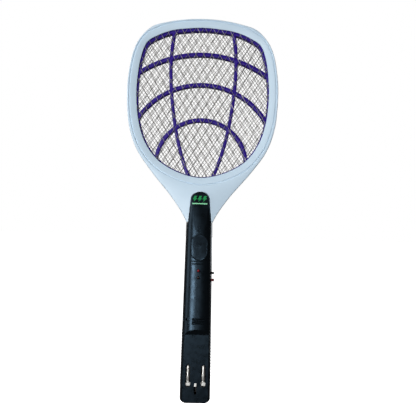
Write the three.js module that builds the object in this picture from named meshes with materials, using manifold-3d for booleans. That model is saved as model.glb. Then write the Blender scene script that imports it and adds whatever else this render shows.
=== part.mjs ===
// Electric fly swatter with a three-layer net head and a rechargeable handle.
// Millimetres. +Z runs along the handle towards the head, the front faces -Y and +X is to the right.
// Heights below are measured up from the bottom end of the handle; the last lines move the
// origin to the middle of the grip.
import * as THREE from "three";
import { mergeGeometries, mergeVertices } from "three/addons/utils/BufferGeometryUtils.js";
import Module from "manifold-3d";

const wasm = await Module();
wasm.setup();

// ---------------------------------------------------------------- driving dimensions

const GRIP_HEIGHT = 130; // middle of the grip, where the hand closes: the origin
const GAP = 0.3; // between pieces that touch
const SPLIT = 0.15; // half the gap at the parting plane of two shells

// Handle
const HANDLE_LENGTH = 224; // bottom end to the shoulder under the head
const HANDLE_BOTTOM_WIDTH = 38.3;
const HANDLE_TOP_WIDTH = 33;
const HANDLE_DEPTH = 32;
const HANDLE_ROUNDNESS = 2.8; // exponent of the superellipse section
const HANDLE_WALL = 2.2;
const HANDLE_CORNER = 5; // radius of the bottom corners
const SECTION_SIDES = 36;
const HANDLE_BOTTOM = 0.3; // height of the lowest ring of the handle
const HANDLE_RINGS = [60, 115, 170]; // heights of its rings between the corners and the shoulder

// Tongue of the handle over the neck of the head
const TONGUE_LENGTH = 38;
const TONGUE_TIP_LENGTH = 9; // its domed end
const TONGUE_TIP_WIDTH = 27;
const TONGUE_FACET_DROP = 11; // how far below the shoulder the sloping facet starts
const TONGUE_TIP_THICKNESS = 1.8;

// Head frame
const HEAD_WIDTH = 190.2;
const HEAD_HEIGHT = 256.2; // shoulder to the top
const HEAD_DEPTH = 20;
const RIM_SIDE = 11.6;
const RIM_TOP = 10.8;
const NECK_LENGTH = 55.8; // shoulder to the opening
const NECK_FLARE = { height: 14, width: 7.5 }; // where the neck starts to widen, and by how much
const NECK_ROOT = { depth: 10, inset: 2 }; // the outline's run below the shoulder
const EDGE_ROUND = 3.6;
const HEAD_STEPS = 66;
const OPENING_STEPS = 48;
const BAND_WIDTH = 8.2; // sloping band round the opening
const BAND_DROP = 2.2;
const LIP = 1.2; // thickness of the lip that holds a net
const FRAME_WALL = 2.2;
const INSERT_WIDTH = 22; // the part of the neck that plugs into the handle
const INSERT_WALL = 2;
const INSERT_CLEARANCE = 1.3; // between the insert and the button's flange below it
const NOTCH_DROP = 3; // of a lead's notch below the wall round the opening
const NOTCH_RISE = 1.5;

// Nets and spacers
const NET_SEAT = 2.5; // how far a net's border reaches under the lip
const NET_BORDER = 1.7;
const NET_BORDER_THICKNESS = 1.2;
const COARSE_PITCH = 10.1;
const COARSE_ANGLE = 60; // of the wires from the horizontal, degrees
const COARSE_WIRE = 0.5;
const FINE_PITCH = 4.4;
const FINE_ANGLE = 52.5;
const FINE_WIRE = 0.4;
const WIRE_LAYER_GAP = 0.06;
const SPACER_INSET = 1.2; // how far the spacer's border shows inside the opening
const SPACER_BORDER = 3.4;
const CROSS_BAR = 5.2;
const LONG_BAR = 4.6;

// Screws
const HEAD_SCREWS = 8;
const SCREW_RADIUS = 1.25;
const SCREW_HEAD_RADIUS = 2.5;
const SCREW_HEAD_HEIGHT = 1.7;
const SCREW_BOSS_WALL = 1.2;
const RECESS_DEPTH = 0.9; // of the cross in a screw's head
const RECESS_REACH = 1.5;
const RECESS_WIDTH = 0.6;
const HEAD_SCREW_TIP = 5; // how far a head screw's tip stays behind the front wall
const NECK_SCREW_TIP = 2;
const HANDLE_SCREW_BITE = 7; // how far a handle screw reaches into the front half
const SHORT_SCREW = 6; // length of the screws in the board and in the plug's retainer
const BOSS_SINK = 1; // how far a boss runs into the wall it grows from

// Push button and its switch
const BUTTON_HEIGHT = 192.8;
const BUTTON_WIDTH = 20;
const BUTTON_LENGTH = 31.5;
const BUTTON_PROUD = 0.5;
const BUTTON_THICKNESS = 2.6;
const BUTTON_TRAVEL = 1.2;
const BUTTON_FLANGE = 1.2;
const TACT_SIZE = 6;
const TACT_HEIGHT = 3.5;
const PLUNGER_RADIUS = 1.7;
const PLUNGER_PROUD = 2;
const PLUNGER_ROOM = 1.4; // below the pressed plunger
const STEM_RADIUS = 3; // of the stem behind the button

// Lamps
const LED_RADIUS = 1.5;
const POWER_LED_HEIGHT = 164;
const CHARGE_LED_HEIGHT = 155.4;
const LED_PROUD = 0.5;
const LED_BODY = 5.3;
const LED_LEG_OFFSET = 0.9;
const LED_LEG = 0.5; // side of a leg

// Side slide switches
const POWER_SWITCH_HEIGHT = 161;
const LAMP_SWITCH_HEIGHT = 152;
const KNOB_HEIGHT = 2.2;
const KNOB_DEPTH = 2.6;
const KNOB_PROUD = 2.7;
const KNOB_FLANGE = 1;
const SWITCH_TRAVEL = 2;
const SWITCH_SETBACK = 3.4; // from the inside of the wall to the switch body
const SWITCH_BODY = [6, 4.2, 7.6];

// Circuit board
const BOARD_FRONT = -4; // Y of the face that carries the button switch
const BOARD_THICKNESS = 1.6;
const BOARD_WIDTH = 23;
const BOARD_BOTTOM = 109;
const BOARD_TOP = 202;
const BOARD_SCREWS = [
  [-7, 113],
  [7, 173],
];
const PART_LIFT = 1.2; // legs under a part on a board
const PART_LEG = 0.6; // side of a leg
const STORAGE_CAPACITOR = { place: [-1, 161], size: [16, 7, 10] };
const DOUBLER_CAPACITOR = { place: [-1, 185], size: [14, 7, 12] };
const TRANSISTOR = { place: [-2, 123], size: [5, 4, 5] };
const BLEED_RESISTOR = { place: [6, 119], size: [8, 2.6, 2.6] };

// Step-up transformer, behind the board
const TRANSFORMER = [17, 7, 20];
const TRANSFORMER_HEIGHT = 140;
const CORE_LEG = 5;
const WINDING_BUILD = 1.6; // how far the winding stands proud of the core
const TRANSFORMER_LIFT = 6; // middle of the core behind the board

// Charger board, behind the plug
const CHARGER_BOARD = [26, 1.6, 35];
const CHARGER_FRONT = 3.2;
const CHARGER_DROP = 10; // bottom of the board and of the plug's retainer below the pivot
const CHARGER_POSTS = [
  [-10, 17],
  [10, 17],
];
const CHARGER_POST_RADIUS = 2;
const CHARGER_CAPACITOR = { place: [0, 39], width: 18, height: 10 };
const CHARGER_CLEARANCE = 1.5; // between its capacitor and the rear wall
const CHARGER_RESISTOR = { place: [0, 28], size: [9, 3, 3] };
const RECTIFIER = { place: [0, 20], size: [7, 3, 6] };

// Leads
const LEAD_RADIUS = 0.8;
const LEAD_OFFSET = 10; // of the leads to the nets from the middle
const LEAD_START = 44; // height at which the charge leads leave the charger board

// Battery
const BATTERY = [26, 16.5, 40];
const BATTERY_BOTTOM = 53.5;
const BATTERY_CORNER = 1;
const BATTERY_POST = [3.6, 0.8, 4]; // flat terminals on the battery's top
const BATTERY_POST_OFFSET = 3.6;
const PAD_THICKNESS = 2;
const PAD_INSET = 2; // of the foam pad inside the battery's outline

// Fold-out plug
const FACE_DROP = 4.5; // flat plug face below the front of the handle
const FACE_TOP = 84.5;
const FACE_RAMP = 7; // height of the sloping step above the flat face
const FACE_WALL = 2.2;
const PIN_SPACING = 19;
const PIN_RADIUS = 2;
const PIN_REACH = 19; // how far the pins stand out when unfolded
const PIVOT_HEIGHT = 22.7;
const PIVOT_DEPTH = 4.8; // pivot below the flat face
const KNUCKLE_RADIUS = 2.6;
const SHAFT_RADIUS = 2.2;
const TAB_WIDTH = 2.8;
const TAB_HEIGHT = 4.2;
const TAB_REACH = 5.2;
const SLOT_CLEARANCE = 0.9;
const SLOT_END = 1.5; // room above a folded pin's tip
const GROOVE_DROP = 6.5; // room below the tab when it swings down
const KNUCKLE_WIDTH = 4.6;
const SHAFT_END = 1.6; // how far the shaft runs past a pin
const PIN_ROOT_RADIUS = 0.8; // of the thin end that runs through the carrier
const SOCKET_RADIUS = 1.1;
const PIVOT_ROOM = 0.9; // between the carrier and the retainer's floor
const SADDLE_OFFSET = 4.2;
const SADDLE = [2.4, 9]; // width and height
const RETAINER_THICKNESS = 2;
const RETAINER_MARGIN = 2.5; // round the folded pins
const CONTACT = [3, 0.6, 6];
const CONTACT_RISE = 5; // above the pivot
const RETAINER_SCREWS = [
  [-3.2, 43],
  [3.2, 43],
];

// Wrist strap hole
const STRAP_HEIGHT = 103.5;
const STRAP_RADIUS = 2.2;
const STRAP_OFFSET = 12;
const STRAP_DEPTH = 7; // of the hole's corner in front of the parting plane
const STRAP_WALL = 2;
const STRAP_LUG_BACK = 2.5;

// ---------------------------------------------------------------- values that follow

const FRONT = -HANDLE_DEPTH / 2;
const FACE_Y = FRONT + FACE_DROP;
const PIVOT_Y = FACE_Y + PIVOT_DEPTH;
const HEAD_FACE = HEAD_DEPTH / 2;
const LIP_INSIDE = HEAD_FACE - BAND_DROP - LIP; // distance of a lip's inner face from the middle
const NET_OUTER = LIP_INSIDE - GAP; // outer face of an outer net
const NET_INNER = NET_OUTER - NET_BORDER_THICKNESS;
const NET_MIDDLE = (NET_OUTER + NET_INNER) / 2;
const SPACER_OUTER = NET_INNER - GAP;
const SPACER_INNER = NET_BORDER_THICKNESS / 2 + GAP;
const OPENING_WIDTH = HEAD_WIDTH - 2 * RIM_SIDE;
const OPENING_BOTTOM = HANDLE_LENGTH + NECK_LENGTH;
const OPENING_HEIGHT = HEAD_HEIGHT - NECK_LENGTH - RIM_TOP;
const RETAINER_FLOOR = PIVOT_Y + KNUCKLE_RADIUS + PIVOT_ROOM;
const BUTTON_TOP = BUTTON_HEIGHT + BUTTON_LENGTH / 2 + BUTTON_FLANGE;
const INSERT_LENGTH = HANDLE_LENGTH - BUTTON_TOP - INSERT_CLEARANCE;
const HOLE_RADIUS = SCREW_RADIUS + GAP;
const BOSS_RADIUS = HOLE_RADIUS + SCREW_BOSS_WALL;
const SEAT_RADIUS = SCREW_HEAD_RADIUS + GAP;
const SCREW_SEAT = 5.5; // Y of the seat under a handle screw's head
const NECK_SCREW_SEAT = HEAD_FACE + GAP + 1;
const HEAD_SCREW_SEAT = HEAD_FACE - SCREW_HEAD_HEIGHT - 1;
const BOARD_BACK = BOARD_FRONT + BOARD_THICKNESS;
const TRANSFORMER_MIDDLE = BOARD_BACK + TRANSFORMER_LIFT;
const CHARGER_BACK = CHARGER_FRONT + CHARGER_BOARD[1];
const CHARGER_BOTTOM = PIVOT_HEIGHT - CHARGER_DROP;
const BATTERY_FRONT = FACE_Y + FACE_WALL + PAD_THICKNESS + GAP;
const BATTERY_MIDDLE = BATTERY_FRONT + BATTERY[1] / 2;
const BATTERY_TOP = BATTERY_BOTTOM + BATTERY[2];
const TACT_TOP = BOARD_FRONT - GAP - TACT_HEIGHT;
const PLUNGER_TOP = TACT_TOP - PLUNGER_PROUD;
const SWITCH_Y = BOARD_FRONT - GAP - SWITCH_BODY[1] / 2;
const FAR = 400; // larger than the object, for cutting blocks

// ---------------------------------------------------------------- materials

const finish = (color, roughness, metalness = 0) =>
  new THREE.MeshStandardMaterial({ color, roughness, metalness });

const FRAME_BLUE = finish(0xc4d8ea, 0.45);
const SPACER_PURPLE = finish(0x2a1593, 0.4);
const NET_STEEL = finish(0x8f8a84, 0.35, 1);
const BLACK_PLASTIC = finish(0x15181b, 0.42);
const BUTTON_BLACK = finish(0x1b1f23, 0.5);
const SCREW_STEEL = finish(0x9a9a9c, 0.3, 1);
const PIN_STEEL = finish(0xd6d6d4, 0.25, 1);
const WHITE_PLASTIC = finish(0xf0f0ec, 0.45);
const RED_LENS = finish(0xa01824, 0.2);
const DARK_LENS = finish(0x2c1c1c, 0.2);
const RED_PLASTIC = finish(0x5a1015, 0.45);
const BOARD_GREEN = finish(0x1f5a33, 0.5);
const FERRITE = finish(0x26262a, 0.7);
const YELLOW_TAPE = finish(0xd8b24a, 0.5);
const FILM_RED = finish(0x8a2a1c, 0.35);
const BATTERY_GREY = finish(0x4a4d52, 0.6);
const FOAM_GREY = finish(0x3a3a3c, 0.95);
const BRASS = finish(0xb48a3c, 0.3, 1);
const WIRE_RED = finish(0xb01c1c, 0.5);
const WIRE_BLACK = finish(0x121212, 0.5);
const RESISTOR_TAN = finish(0xc8a676, 0.6);

// ---------------------------------------------------------------- solid helpers

// A closed geometry as a solid that can be joined and cut.
function solid(geometry) {
  const bare = geometry.index ? geometry.toNonIndexed() : geometry.clone();
  bare.deleteAttribute("normal");
  bare.deleteAttribute("uv");
  const merged = mergeVertices(bare, 1e-4);
  return new wasm.Manifold(
    new wasm.Mesh({
      numProp: 3,
      vertProperties: merged.attributes.position.array,
      triVerts: new Uint32Array(merged.index.array),
    }),
  );
}

function geometryOf(body) {
  const mesh = body.getMesh();
  const geometry = new THREE.BufferGeometry();
  geometry.setAttribute("position", new THREE.BufferAttribute(mesh.vertProperties, 3));
  geometry.setIndex(new THREE.BufferAttribute(mesh.triVerts, 1));
  const flat = geometry.toNonIndexed();
  flat.computeVertexNormals();
  return flat;
}

// A box between two corners.
function block(low, high) {
  const size = high.map((value, axis) => value - low[axis]);
  const box = new THREE.BoxGeometry(...size);
  box.translate(...high.map((value, axis) => (value + low[axis]) / 2));
  return solid(box);
}

// A round bar along Y, X or Z, from one end to the other.
function rod(axis, radius, start, end, place, sides = 14) {
  const bar = new THREE.CylinderGeometry(radius, radius, Math.abs(end - start), sides);
  if (axis === "x") bar.rotateZ(Math.PI / 2);
  if (axis === "z") bar.rotateX(Math.PI / 2);
  const middle = (start + end) / 2;
  const centre = { x: [middle, ...place], y: [place[0], middle, place[1]], z: [...place, middle] };
  bar.translate(...centre[axis]);
  return solid(bar);
}

const shapeOf = (outline, holes = []) => {
  const shape = new THREE.Shape(outline);
  shape.holes = holes.map((hole) => new THREE.Path(hole));
  return shape;
};

// A flat outline in X and Z, given its thickness between two Y values.
function plateGeometry(outline, front, back, holes = [], bevel = {}) {
  const round = bevel.size ?? 0;
  const plate = new THREE.ExtrudeGeometry(shapeOf(outline, holes), {
    depth: back - front - 2 * round,
    bevelEnabled: round > 0,
    bevelThickness: round,
    bevelSize: round,
    bevelOffset: -round,
    bevelSegments: bevel.segments ?? 1,
  });
  const basis = new THREE.Matrix4().makeBasis(
    new THREE.Vector3(1, 0, 0),
    new THREE.Vector3(0, 0, 1),
    new THREE.Vector3(0, -1, 0),
  );
  plate.applyMatrix4(basis);
  plate.translate(0, back - round, 0);
  return plate;
}

const plate = (...settings) => solid(plateGeometry(...settings));

// A side profile in Y and Z, given its width between two X values.
function slab(profile, left, right) {
  const side = new THREE.ExtrudeGeometry(shapeOf(profile.map(([y, z]) => new THREE.Vector2(y, z))), {
    depth: right - left,
    bevelEnabled: false,
  });
  const basis = new THREE.Matrix4().makeBasis(
    new THREE.Vector3(0, 1, 0),
    new THREE.Vector3(0, 0, 1),
    new THREE.Vector3(1, 0, 0),
  );
  side.applyMatrix4(basis);
  side.translate(left, 0, 0);
  return solid(side);
}

const joined = (bodies) => bodies.reduce((whole, body) => whole.add(body));
const cutAll = (body, cutters) => cutters.reduce((left, cutter) => left.subtract(cutter), body);

// ---------------------------------------------------------------- outlines of the head

// A smooth line through points, evenly stepped.
function smoothLine(points, closed, steps) {
  const places = points.map(([x, z]) => new THREE.Vector3(x, z, 0));
  const curve = new THREE.CatmullRomCurve3(places, closed, "centripetal");
  const line = curve.getSpacedPoints(steps).map((p) => new THREE.Vector2(p.x, p.y));
  return closed ? line.slice(0, -1) : line;
}

// A closed outline moved outwards by a distance, or inwards by a negative one.
function grown(outline, distance) {
  const turn = THREE.ShapeUtils.isClockWise(outline) ? -1 : 1;
  return outline.map((point, index) => {
    const before = outline.at(index - 1);
    const after = outline[(index + 1) % outline.length];
    const first = new THREE.Vector2(point.y - before.y, before.x - point.x).normalize();
    const second = new THREE.Vector2(after.y - point.y, point.x - after.x).normalize();
    const reach = (turn * distance) / (1 + first.dot(second));
    return first.add(second).multiplyScalar(reach).add(point);
  });
}

// Right half of the head from the top centre down, as shares of half its width and of its height.
const HEAD_HALF = [
  [0, 1],
  [0.235, 0.9955],
  [0.47, 0.981],
  [0.69, 0.955],
  [0.842, 0.9],
  [0.925, 0.839],
  [0.985, 0.727],
  [1, 0.63],
  [0.967, 0.472],
  [0.864, 0.356],
  [0.667, 0.25],
  [0.401, 0.132],
];

// Right half of the opening in the same way.
const OPENING_HALF = [
  [0, 1],
  [0.24, 0.993],
  [0.48, 0.977],
  [0.69, 0.942],
  [0.855, 0.895],
  [0.937, 0.81],
  [0.99, 0.663],
  [0.998, 0.52],
  [0.958, 0.365],
  [0.855, 0.228],
  [0.65, 0.109],
  [0.346, 0.033],
  [0, 0],
];

function headOutline() {
  const right = HEAD_HALF.map(([x, z]) => [(x * HEAD_WIDTH) / 2, HANDLE_LENGTH + z * HEAD_HEIGHT]);
  const shoulder = HANDLE_TOP_WIDTH / 2;
  right.push([shoulder + NECK_FLARE.width, HANDLE_LENGTH + NECK_FLARE.height]);
  right.push([shoulder, HANDLE_LENGTH]);
  right.push([shoulder - NECK_ROOT.inset, HANDLE_LENGTH - NECK_ROOT.depth]);
  const left = right.slice(1).map(([x, z]) => [-x, z]);
  return smoothLine([...left.reverse(), ...right], false, HEAD_STEPS).reverse();
}

function openingOutline() {
  const right = OPENING_HALF.map(([x, z]) => [
    (x * OPENING_WIDTH) / 2,
    OPENING_BOTTOM + z * OPENING_HEIGHT,
  ]);
  const left = right.slice(1, -1).map(([x, z]) => [-x, z]);
  return smoothLine([...right, ...left.reverse()], true, OPENING_STEPS).reverse();
}

const HEAD = headOutline();
const OPENING = openingOutline();

// ---------------------------------------------------------------- head frame

// Places of the head's screws, on a line through the middle of the rim.
function headScrewPlaces() {
  const line = grown(OPENING, (NET_SEAT + FRAME_WALL + GAP + RIM_SIDE - FRAME_WALL) / 2);
  return Array.from({ length: HEAD_SCREWS }, (_, index) => {
    const step = ((index + 0.5) * line.length) / HEAD_SCREWS;
    return line.at(-1 - Math.round(step));
  });
}

const HEAD_SCREW_PLACES = headScrewPlaces();
const NECK_SCREW_HEIGHT = HANDLE_LENGTH - INSERT_LENGTH / 2;

// The sloping band round the opening, as the block to cut away in front of it.
function bandCutter(side) {
  const funnel = new THREE.ExtrudeGeometry(shapeOf(OPENING), {
    depth: BAND_DROP,
    bevelEnabled: true,
    bevelThickness: BAND_DROP,
    bevelSize: BAND_WIDTH,
    bevelSegments: 1,
  });
  funnel.rotateX(Math.PI / 2);
  const middle = side * (HEAD_FACE + BAND_DROP / 2);
  return solid(funnel.translate(0, middle + BAND_DROP / 2, 0));
}

// One half of the frame: side -1 is the front half, 1 the rear half.
function frameHalf(side) {
  const near = (a, b) => [Math.min(side * a, side * b), Math.max(side * a, side * b)];
  const round = { size: EDGE_ROUND, segments: 2 };
  const shell = plate(HEAD, -HEAD_FACE, HEAD_FACE, [], round).subtract(
    block([-FAR, -FAR, 0], [FAR, FAR, HANDLE_LENGTH]),
  );
  const half = INSERT_WIDTH / 2;
  const bottom = HANDLE_LENGTH - INSERT_LENGTH;
  const depth = HEAD_FACE - GAP;
  const insert = block([-half, -depth, bottom], [half, depth, HANDLE_LENGTH + 2]);
  const pocket = grown(OPENING, NET_SEAT + GAP);
  const hollowInside = grown(OPENING, NET_SEAT + GAP + FRAME_WALL);
  const hollowOutside = grown(HEAD, -FRAME_WALL - 1);
  const hollow = plate(hollowOutside, ...near(-1, HEAD_FACE - FRAME_WALL))
    .subtract(plate(hollowInside, -FAR, FAR))
    .subtract(block([-FAR, -FAR, 0], [FAR, FAR, HANDLE_LENGTH + FRAME_WALL]));
  const throat = block(
    [-half + INSERT_WALL, near(-1, depth - INSERT_WALL)[0], bottom - 1],
    [half - INSERT_WALL, near(-1, depth - INSERT_WALL)[1], HANDLE_LENGTH + 2 * FRAME_WALL],
  );
  const places = [...HEAD_SCREW_PLACES, new THREE.Vector2(0, NECK_SCREW_HEIGHT)];
  const bosses = places.map((p) =>
    rod("y", BOSS_RADIUS, ...near(-2, HEAD_FACE - 1), [p.x, p.y], 8),
  );
  const cavity = cutAll(hollow.add(throat), bosses);
  const body = cutAll(shell.add(insert), [
    cavity,
    plate(OPENING, -FAR, FAR),
    plate(pocket, ...near(-1, LIP_INSIDE)),
    bandCutter(side),
    block([-FAR, near(-FAR, SPLIT)[0], -FAR], [FAR, near(-FAR, SPLIT)[1], 2 * FAR]),
  ]);
  return cutAll(body, [...frameScrewHoles(side, near), ...leadNotches(side)]);
}

// Notches in the wall below the opening, where the leads reach the nets.
function leadNotches(side) {
  const edge = OPENING_BOTTOM - NET_SEAT;
  const z = [edge - FRAME_WALL - NOTCH_DROP, edge + NOTCH_RISE];
  const half = LEAD_RADIUS + 2 * GAP;
  const outer = block([-LEAD_OFFSET - half, -LIP_INSIDE, z[0]], [-LEAD_OFFSET + half, 0, z[1]]);
  const inner = block([LEAD_OFFSET - half, -half, z[0]], [LEAD_OFFSET + half, half, z[1]]);
  return side < 0 ? [outer, inner] : [inner];
}

// The front half has blind holes; the rear half has through holes with sunk seats.
function frameScrewHoles(side, near) {
  const blind = near(-1, HEAD_FACE - FRAME_WALL);
  const through = near(-1, FAR);
  const seat = near(HEAD_SCREW_SEAT, FAR);
  const neck = [0, NECK_SCREW_HEIGHT];
  const holes = [rod("y", HOLE_RADIUS, ...through, neck, 8)];
  HEAD_SCREW_PLACES.forEach((p) => {
    const place = [p.x, p.y];
    holes.push(rod("y", HOLE_RADIUS, ...(side < 0 ? blind : through), place, 8));
    if (side > 0) holes.push(rod("y", SEAT_RADIUS, ...seat, place, 12));
  });
  return holes;
}

// ---------------------------------------------------------------- nets

// Where a straight line crosses a closed outline, as the two ends of the chord.
function chord(outline, start, along) {
  const hits = [];
  outline.forEach((point, index) => {
    const next = outline[(index + 1) % outline.length];
    const edge = next.clone().sub(point);
    const away = point.clone().sub(start);
    const turn = along.cross(edge);
    if (Math.abs(turn) < 1e-9) return;
    const onEdge = away.cross(along) / turn;
    if (onEdge >= 0 && onEdge < 1) hits.push(away.cross(edge) / turn);
  });
  return hits.length < 2 ? null : [Math.min(...hits), Math.max(...hits)];
}

// One family of parallel wires that fills an outline, at one depth.
function wireFamily(outline, pitch, angle, wire, y) {
  const along = new THREE.Vector2(Math.cos(angle), Math.sin(angle));
  const middle = OPENING_BOTTOM + OPENING_HEIGHT / 2;
  const reach = HEAD_WIDTH / 2 + OPENING_HEIGHT / 2;
  const count = Math.ceil(reach / pitch);
  const wires = [];
  for (let index = -count; index <= count; index += 1) {
    const start = new THREE.Vector2((index + 0.5) * pitch, middle);
    const ends = chord(outline, start, along);
    if (ends && ends[1] - ends[0] > pitch) {
      const bar = new THREE.BoxGeometry(ends[1] - ends[0], wire, wire);
      bar.rotateY(-angle);
      const centre = start.addScaledVector(along, (ends[0] + ends[1]) / 2);
      wires.push(bar.translate(centre.x, y, centre.y));
    }
  }
  return wires;
}

// A net: two layers of crossed wires that end in a border under the frame's lip.
function net(pitch, degrees, wire, y) {
  const angle = THREE.MathUtils.degToRad(degrees);
  const ends = grown(OPENING, NET_SEAT - NET_BORDER / 2);
  const layer = (wire + WIRE_LAYER_GAP) / 2;
  const wires = [
    ...wireFamily(ends, pitch, angle, wire, y - layer),
    ...wireFamily(ends, pitch, Math.PI - angle, wire, y + layer),
  ];
  const border = plate(
    grown(OPENING, NET_SEAT),
    y - NET_BORDER_THICKNESS / 2,
    y + NET_BORDER_THICKNESS / 2,
    [grown(OPENING, NET_SEAT - NET_BORDER)],
  );
  return border.add(solid(mergeGeometries(wires)));
}

// ---------------------------------------------------------------- spacers

// Centre height above the opening's bottom and radius of each curved cross bar.
const CROSS_ARCS = [
  { centre: 14.5, radius: 142 },
  { centre: 21.9, radius: 96 },
  { centre: 16.2, radius: 57 },
];

// Right-hand long bar from top to bottom: distance from the middle, height above the opening's bottom.
const LONG_BAR_LINE = [
  [36.5, 192],
  [40.5, 160],
  [41, 129],
  [37.3, 87],
  [29.6, 45],
  [18.8, 10],
  [12.5, -4],
];

function crossBar({ centre, radius }) {
  const bar = new THREE.Shape();
  bar.absarc(0, OPENING_BOTTOM + centre, radius + CROSS_BAR / 2, Math.PI, 0, true);
  bar.absarc(0, OPENING_BOTTOM + centre, radius - CROSS_BAR / 2, 0, Math.PI, false);
  return bar.getPoints(12);
}

function longBar(side) {
  const middle = smoothLine(
    LONG_BAR_LINE.map(([x, z]) => [side * x, OPENING_BOTTOM + z]),
    false,
    12,
  );
  const edge = (distance) =>
    middle.map((point, index) => {
      const along = middle[Math.min(index + 1, middle.length - 1)]
        .clone()
        .sub(middle[Math.max(index - 1, 0)])
        .normalize();
      return new THREE.Vector2(point.x - along.y * distance, point.y + along.x * distance);
    });
  return [...edge(LONG_BAR / 2), ...edge(-LONG_BAR / 2).reverse()];
}

// A spacer: border and bars that hold two nets apart.
function spacer(side) {
  const depth = [side * SPACER_INNER, side * SPACER_OUTER].sort((a, b) => a - b);
  const outside = grown(OPENING, NET_SEAT);
  const inside = grown(OPENING, -SPACER_INSET);
  const bars = [...CROSS_ARCS.map(crossBar), longBar(-1), longBar(1)];
  const lattice = joined(bars.map((bar) => plate(bar, ...depth)));
  const within = lattice.intersect(plate(grown(OPENING, SPACER_BORDER - NET_SEAT), ...depth));
  return plate(outside, ...depth, [inside]).add(within);
}

// ---------------------------------------------------------------- handle

// Half the handle's width at a height.
function halfWidth(height) {
  const share = Math.min(height / HANDLE_LENGTH, 1);
  const straight = THREE.MathUtils.lerp(HANDLE_BOTTOM_WIDTH, HANDLE_TOP_WIDTH, share) / 2;
  if (height < HANDLE_CORNER) {
    const drop = HANDLE_CORNER - height;
    return straight - HANDLE_CORNER + Math.sqrt(HANDLE_CORNER ** 2 - drop ** 2);
  }
  if (height <= HANDLE_LENGTH) return straight;
  const tipStart = HANDLE_LENGTH + TONGUE_LENGTH - TONGUE_TIP_LENGTH;
  const taper = (Math.min(height, tipStart) - HANDLE_LENGTH) / (tipStart - HANDLE_LENGTH);
  const tongue = THREE.MathUtils.lerp(straight, TONGUE_TIP_WIDTH / 2, taper);
  const dome = Math.max(height - tipStart, 0) / TONGUE_TIP_LENGTH;
  return tongue * Math.sqrt(1 - (0.98 * dome) ** 2);
}

const halfDepth = (height) =>
  height < HANDLE_CORNER ? -FRONT - (halfWidth(HANDLE_CORNER) - halfWidth(height)) / 2 : -FRONT;

// The handle's rounded body between two heights, made thinner all round by an inset.
function handleBody(bottom, top, inset) {
  const ring = Array.from({ length: SECTION_SIDES }, (_, index) => {
    const angle = ((index + 0.5) / SECTION_SIDES) * 2 * Math.PI;
    const power = 2 / HANDLE_ROUNDNESS;
    const x = Math.sign(Math.cos(angle)) * Math.abs(Math.cos(angle)) ** power;
    const y = Math.sign(Math.sin(angle)) * Math.abs(Math.sin(angle)) ** power;
    return new THREE.Vector2(x, y);
  });
  const tipStart = HANDLE_LENGTH + TONGUE_LENGTH - TONGUE_TIP_LENGTH;
  const heights = [bottom, top];
  const corner = [0.15, 0.5, 1].map((share) => share * HANDLE_CORNER);
  const tip = [0, 0.35, 0.6, 0.8, 0.92, 1].map((share) => tipStart + share * TONGUE_TIP_LENGTH);
  const between = [...corner, ...HANDLE_RINGS, HANDLE_LENGTH, ...tip];
  heights.push(...between.filter((height) => height > bottom + 0.5 && height < top - 0.5));
  heights.sort((a, b) => a - b);
  const steps = heights.length - 1;
  const body = new THREE.ExtrudeGeometry(shapeOf(ring), { depth: 1, steps, bevelEnabled: false });
  const place = body.attributes.position;
  for (let index = 0; index < place.count; index += 1) {
    const height = heights[Math.round(place.getZ(index) * steps)];
    const x = place.getX(index) * (halfWidth(height) - inset);
    const y = place.getY(index) * (halfDepth(height) - inset);
    place.setXYZ(index, x, y, height);
  }
  return solid(body);
}

// Everything in front of the flat plug face and of the ramp above it.
function plugFaceCutter(inset) {
  const face = FACE_Y + inset;
  const top = FACE_TOP + inset;
  const beyond = FRONT - 1;
  const rampTop = top + (FACE_RAMP * (face - beyond)) / FACE_DROP;
  return slab(
    [
      [face, -FAR],
      [face, top],
      [beyond, rampTop],
      [-FAR, rampTop],
      [-FAR, -FAR],
    ],
    -FAR,
    FAR,
  );
}

// Everything outside the sloping facet of the tongue on one side of the handle.
function facetCutter(side) {
  const start = HANDLE_LENGTH - TONGUE_FACET_DROP;
  const end = HANDLE_LENGTH + TONGUE_LENGTH;
  const tip = HEAD_FACE + GAP + TONGUE_TIP_THICKNESS;
  const slope = (-FRONT - tip) / (end - start);
  const at = (height) => side * (-FRONT - slope * (height - start));
  const [low, high] = [start - TONGUE_LENGTH, end + TONGUE_LENGTH];
  const profile = [
    [at(low), low],
    [at(high), high],
    [side * FAR, high],
    [side * FAR, low],
  ];
  return slab(side < 0 ? profile.reverse() : profile, -FAR, FAR);
}

// The space that the head's frame takes between the two tongues and inside the handle.
function neckSpace() {
  const half = INSERT_WIDTH / 2 + GAP;
  const bottom = HANDLE_LENGTH - INSERT_LENGTH - GAP;
  return block([-FAR, -HEAD_FACE - GAP, HANDLE_LENGTH - GAP], [FAR, HEAD_FACE + GAP, FAR]).add(
    block([-half, -HEAD_FACE, bottom], [half, HEAD_FACE, HANDLE_LENGTH]),
  );
}

const SHELL_TOP = HANDLE_LENGTH + TONGUE_LENGTH;
const WHOLE_BODY = handleBody(HANDLE_BOTTOM, SHELL_TOP, 0);
const OUTER_BODY = WHOLE_BODY.subtract(plugFaceCutter(0));
const CAVITY = handleBody(HANDLE_WALL, HANDLE_LENGTH - HANDLE_WALL, HANDLE_WALL);

const stadium = (width, length, height) => {
  const shape = new THREE.Shape();
  const radius = width / 2;
  const straight = length / 2 - radius;
  shape.absarc(0, height + straight, radius, 0, Math.PI, false);
  shape.absarc(0, height - straight, radius, Math.PI, 2 * Math.PI, false);
  return shape.getPoints(7);
};

const HANDLE_SCREWS = [
  [0, NECK_SCREW_HEIGHT],
  [-10.2, 101],
  [10.2, 101],
  [0, 7.6],
];

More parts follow.
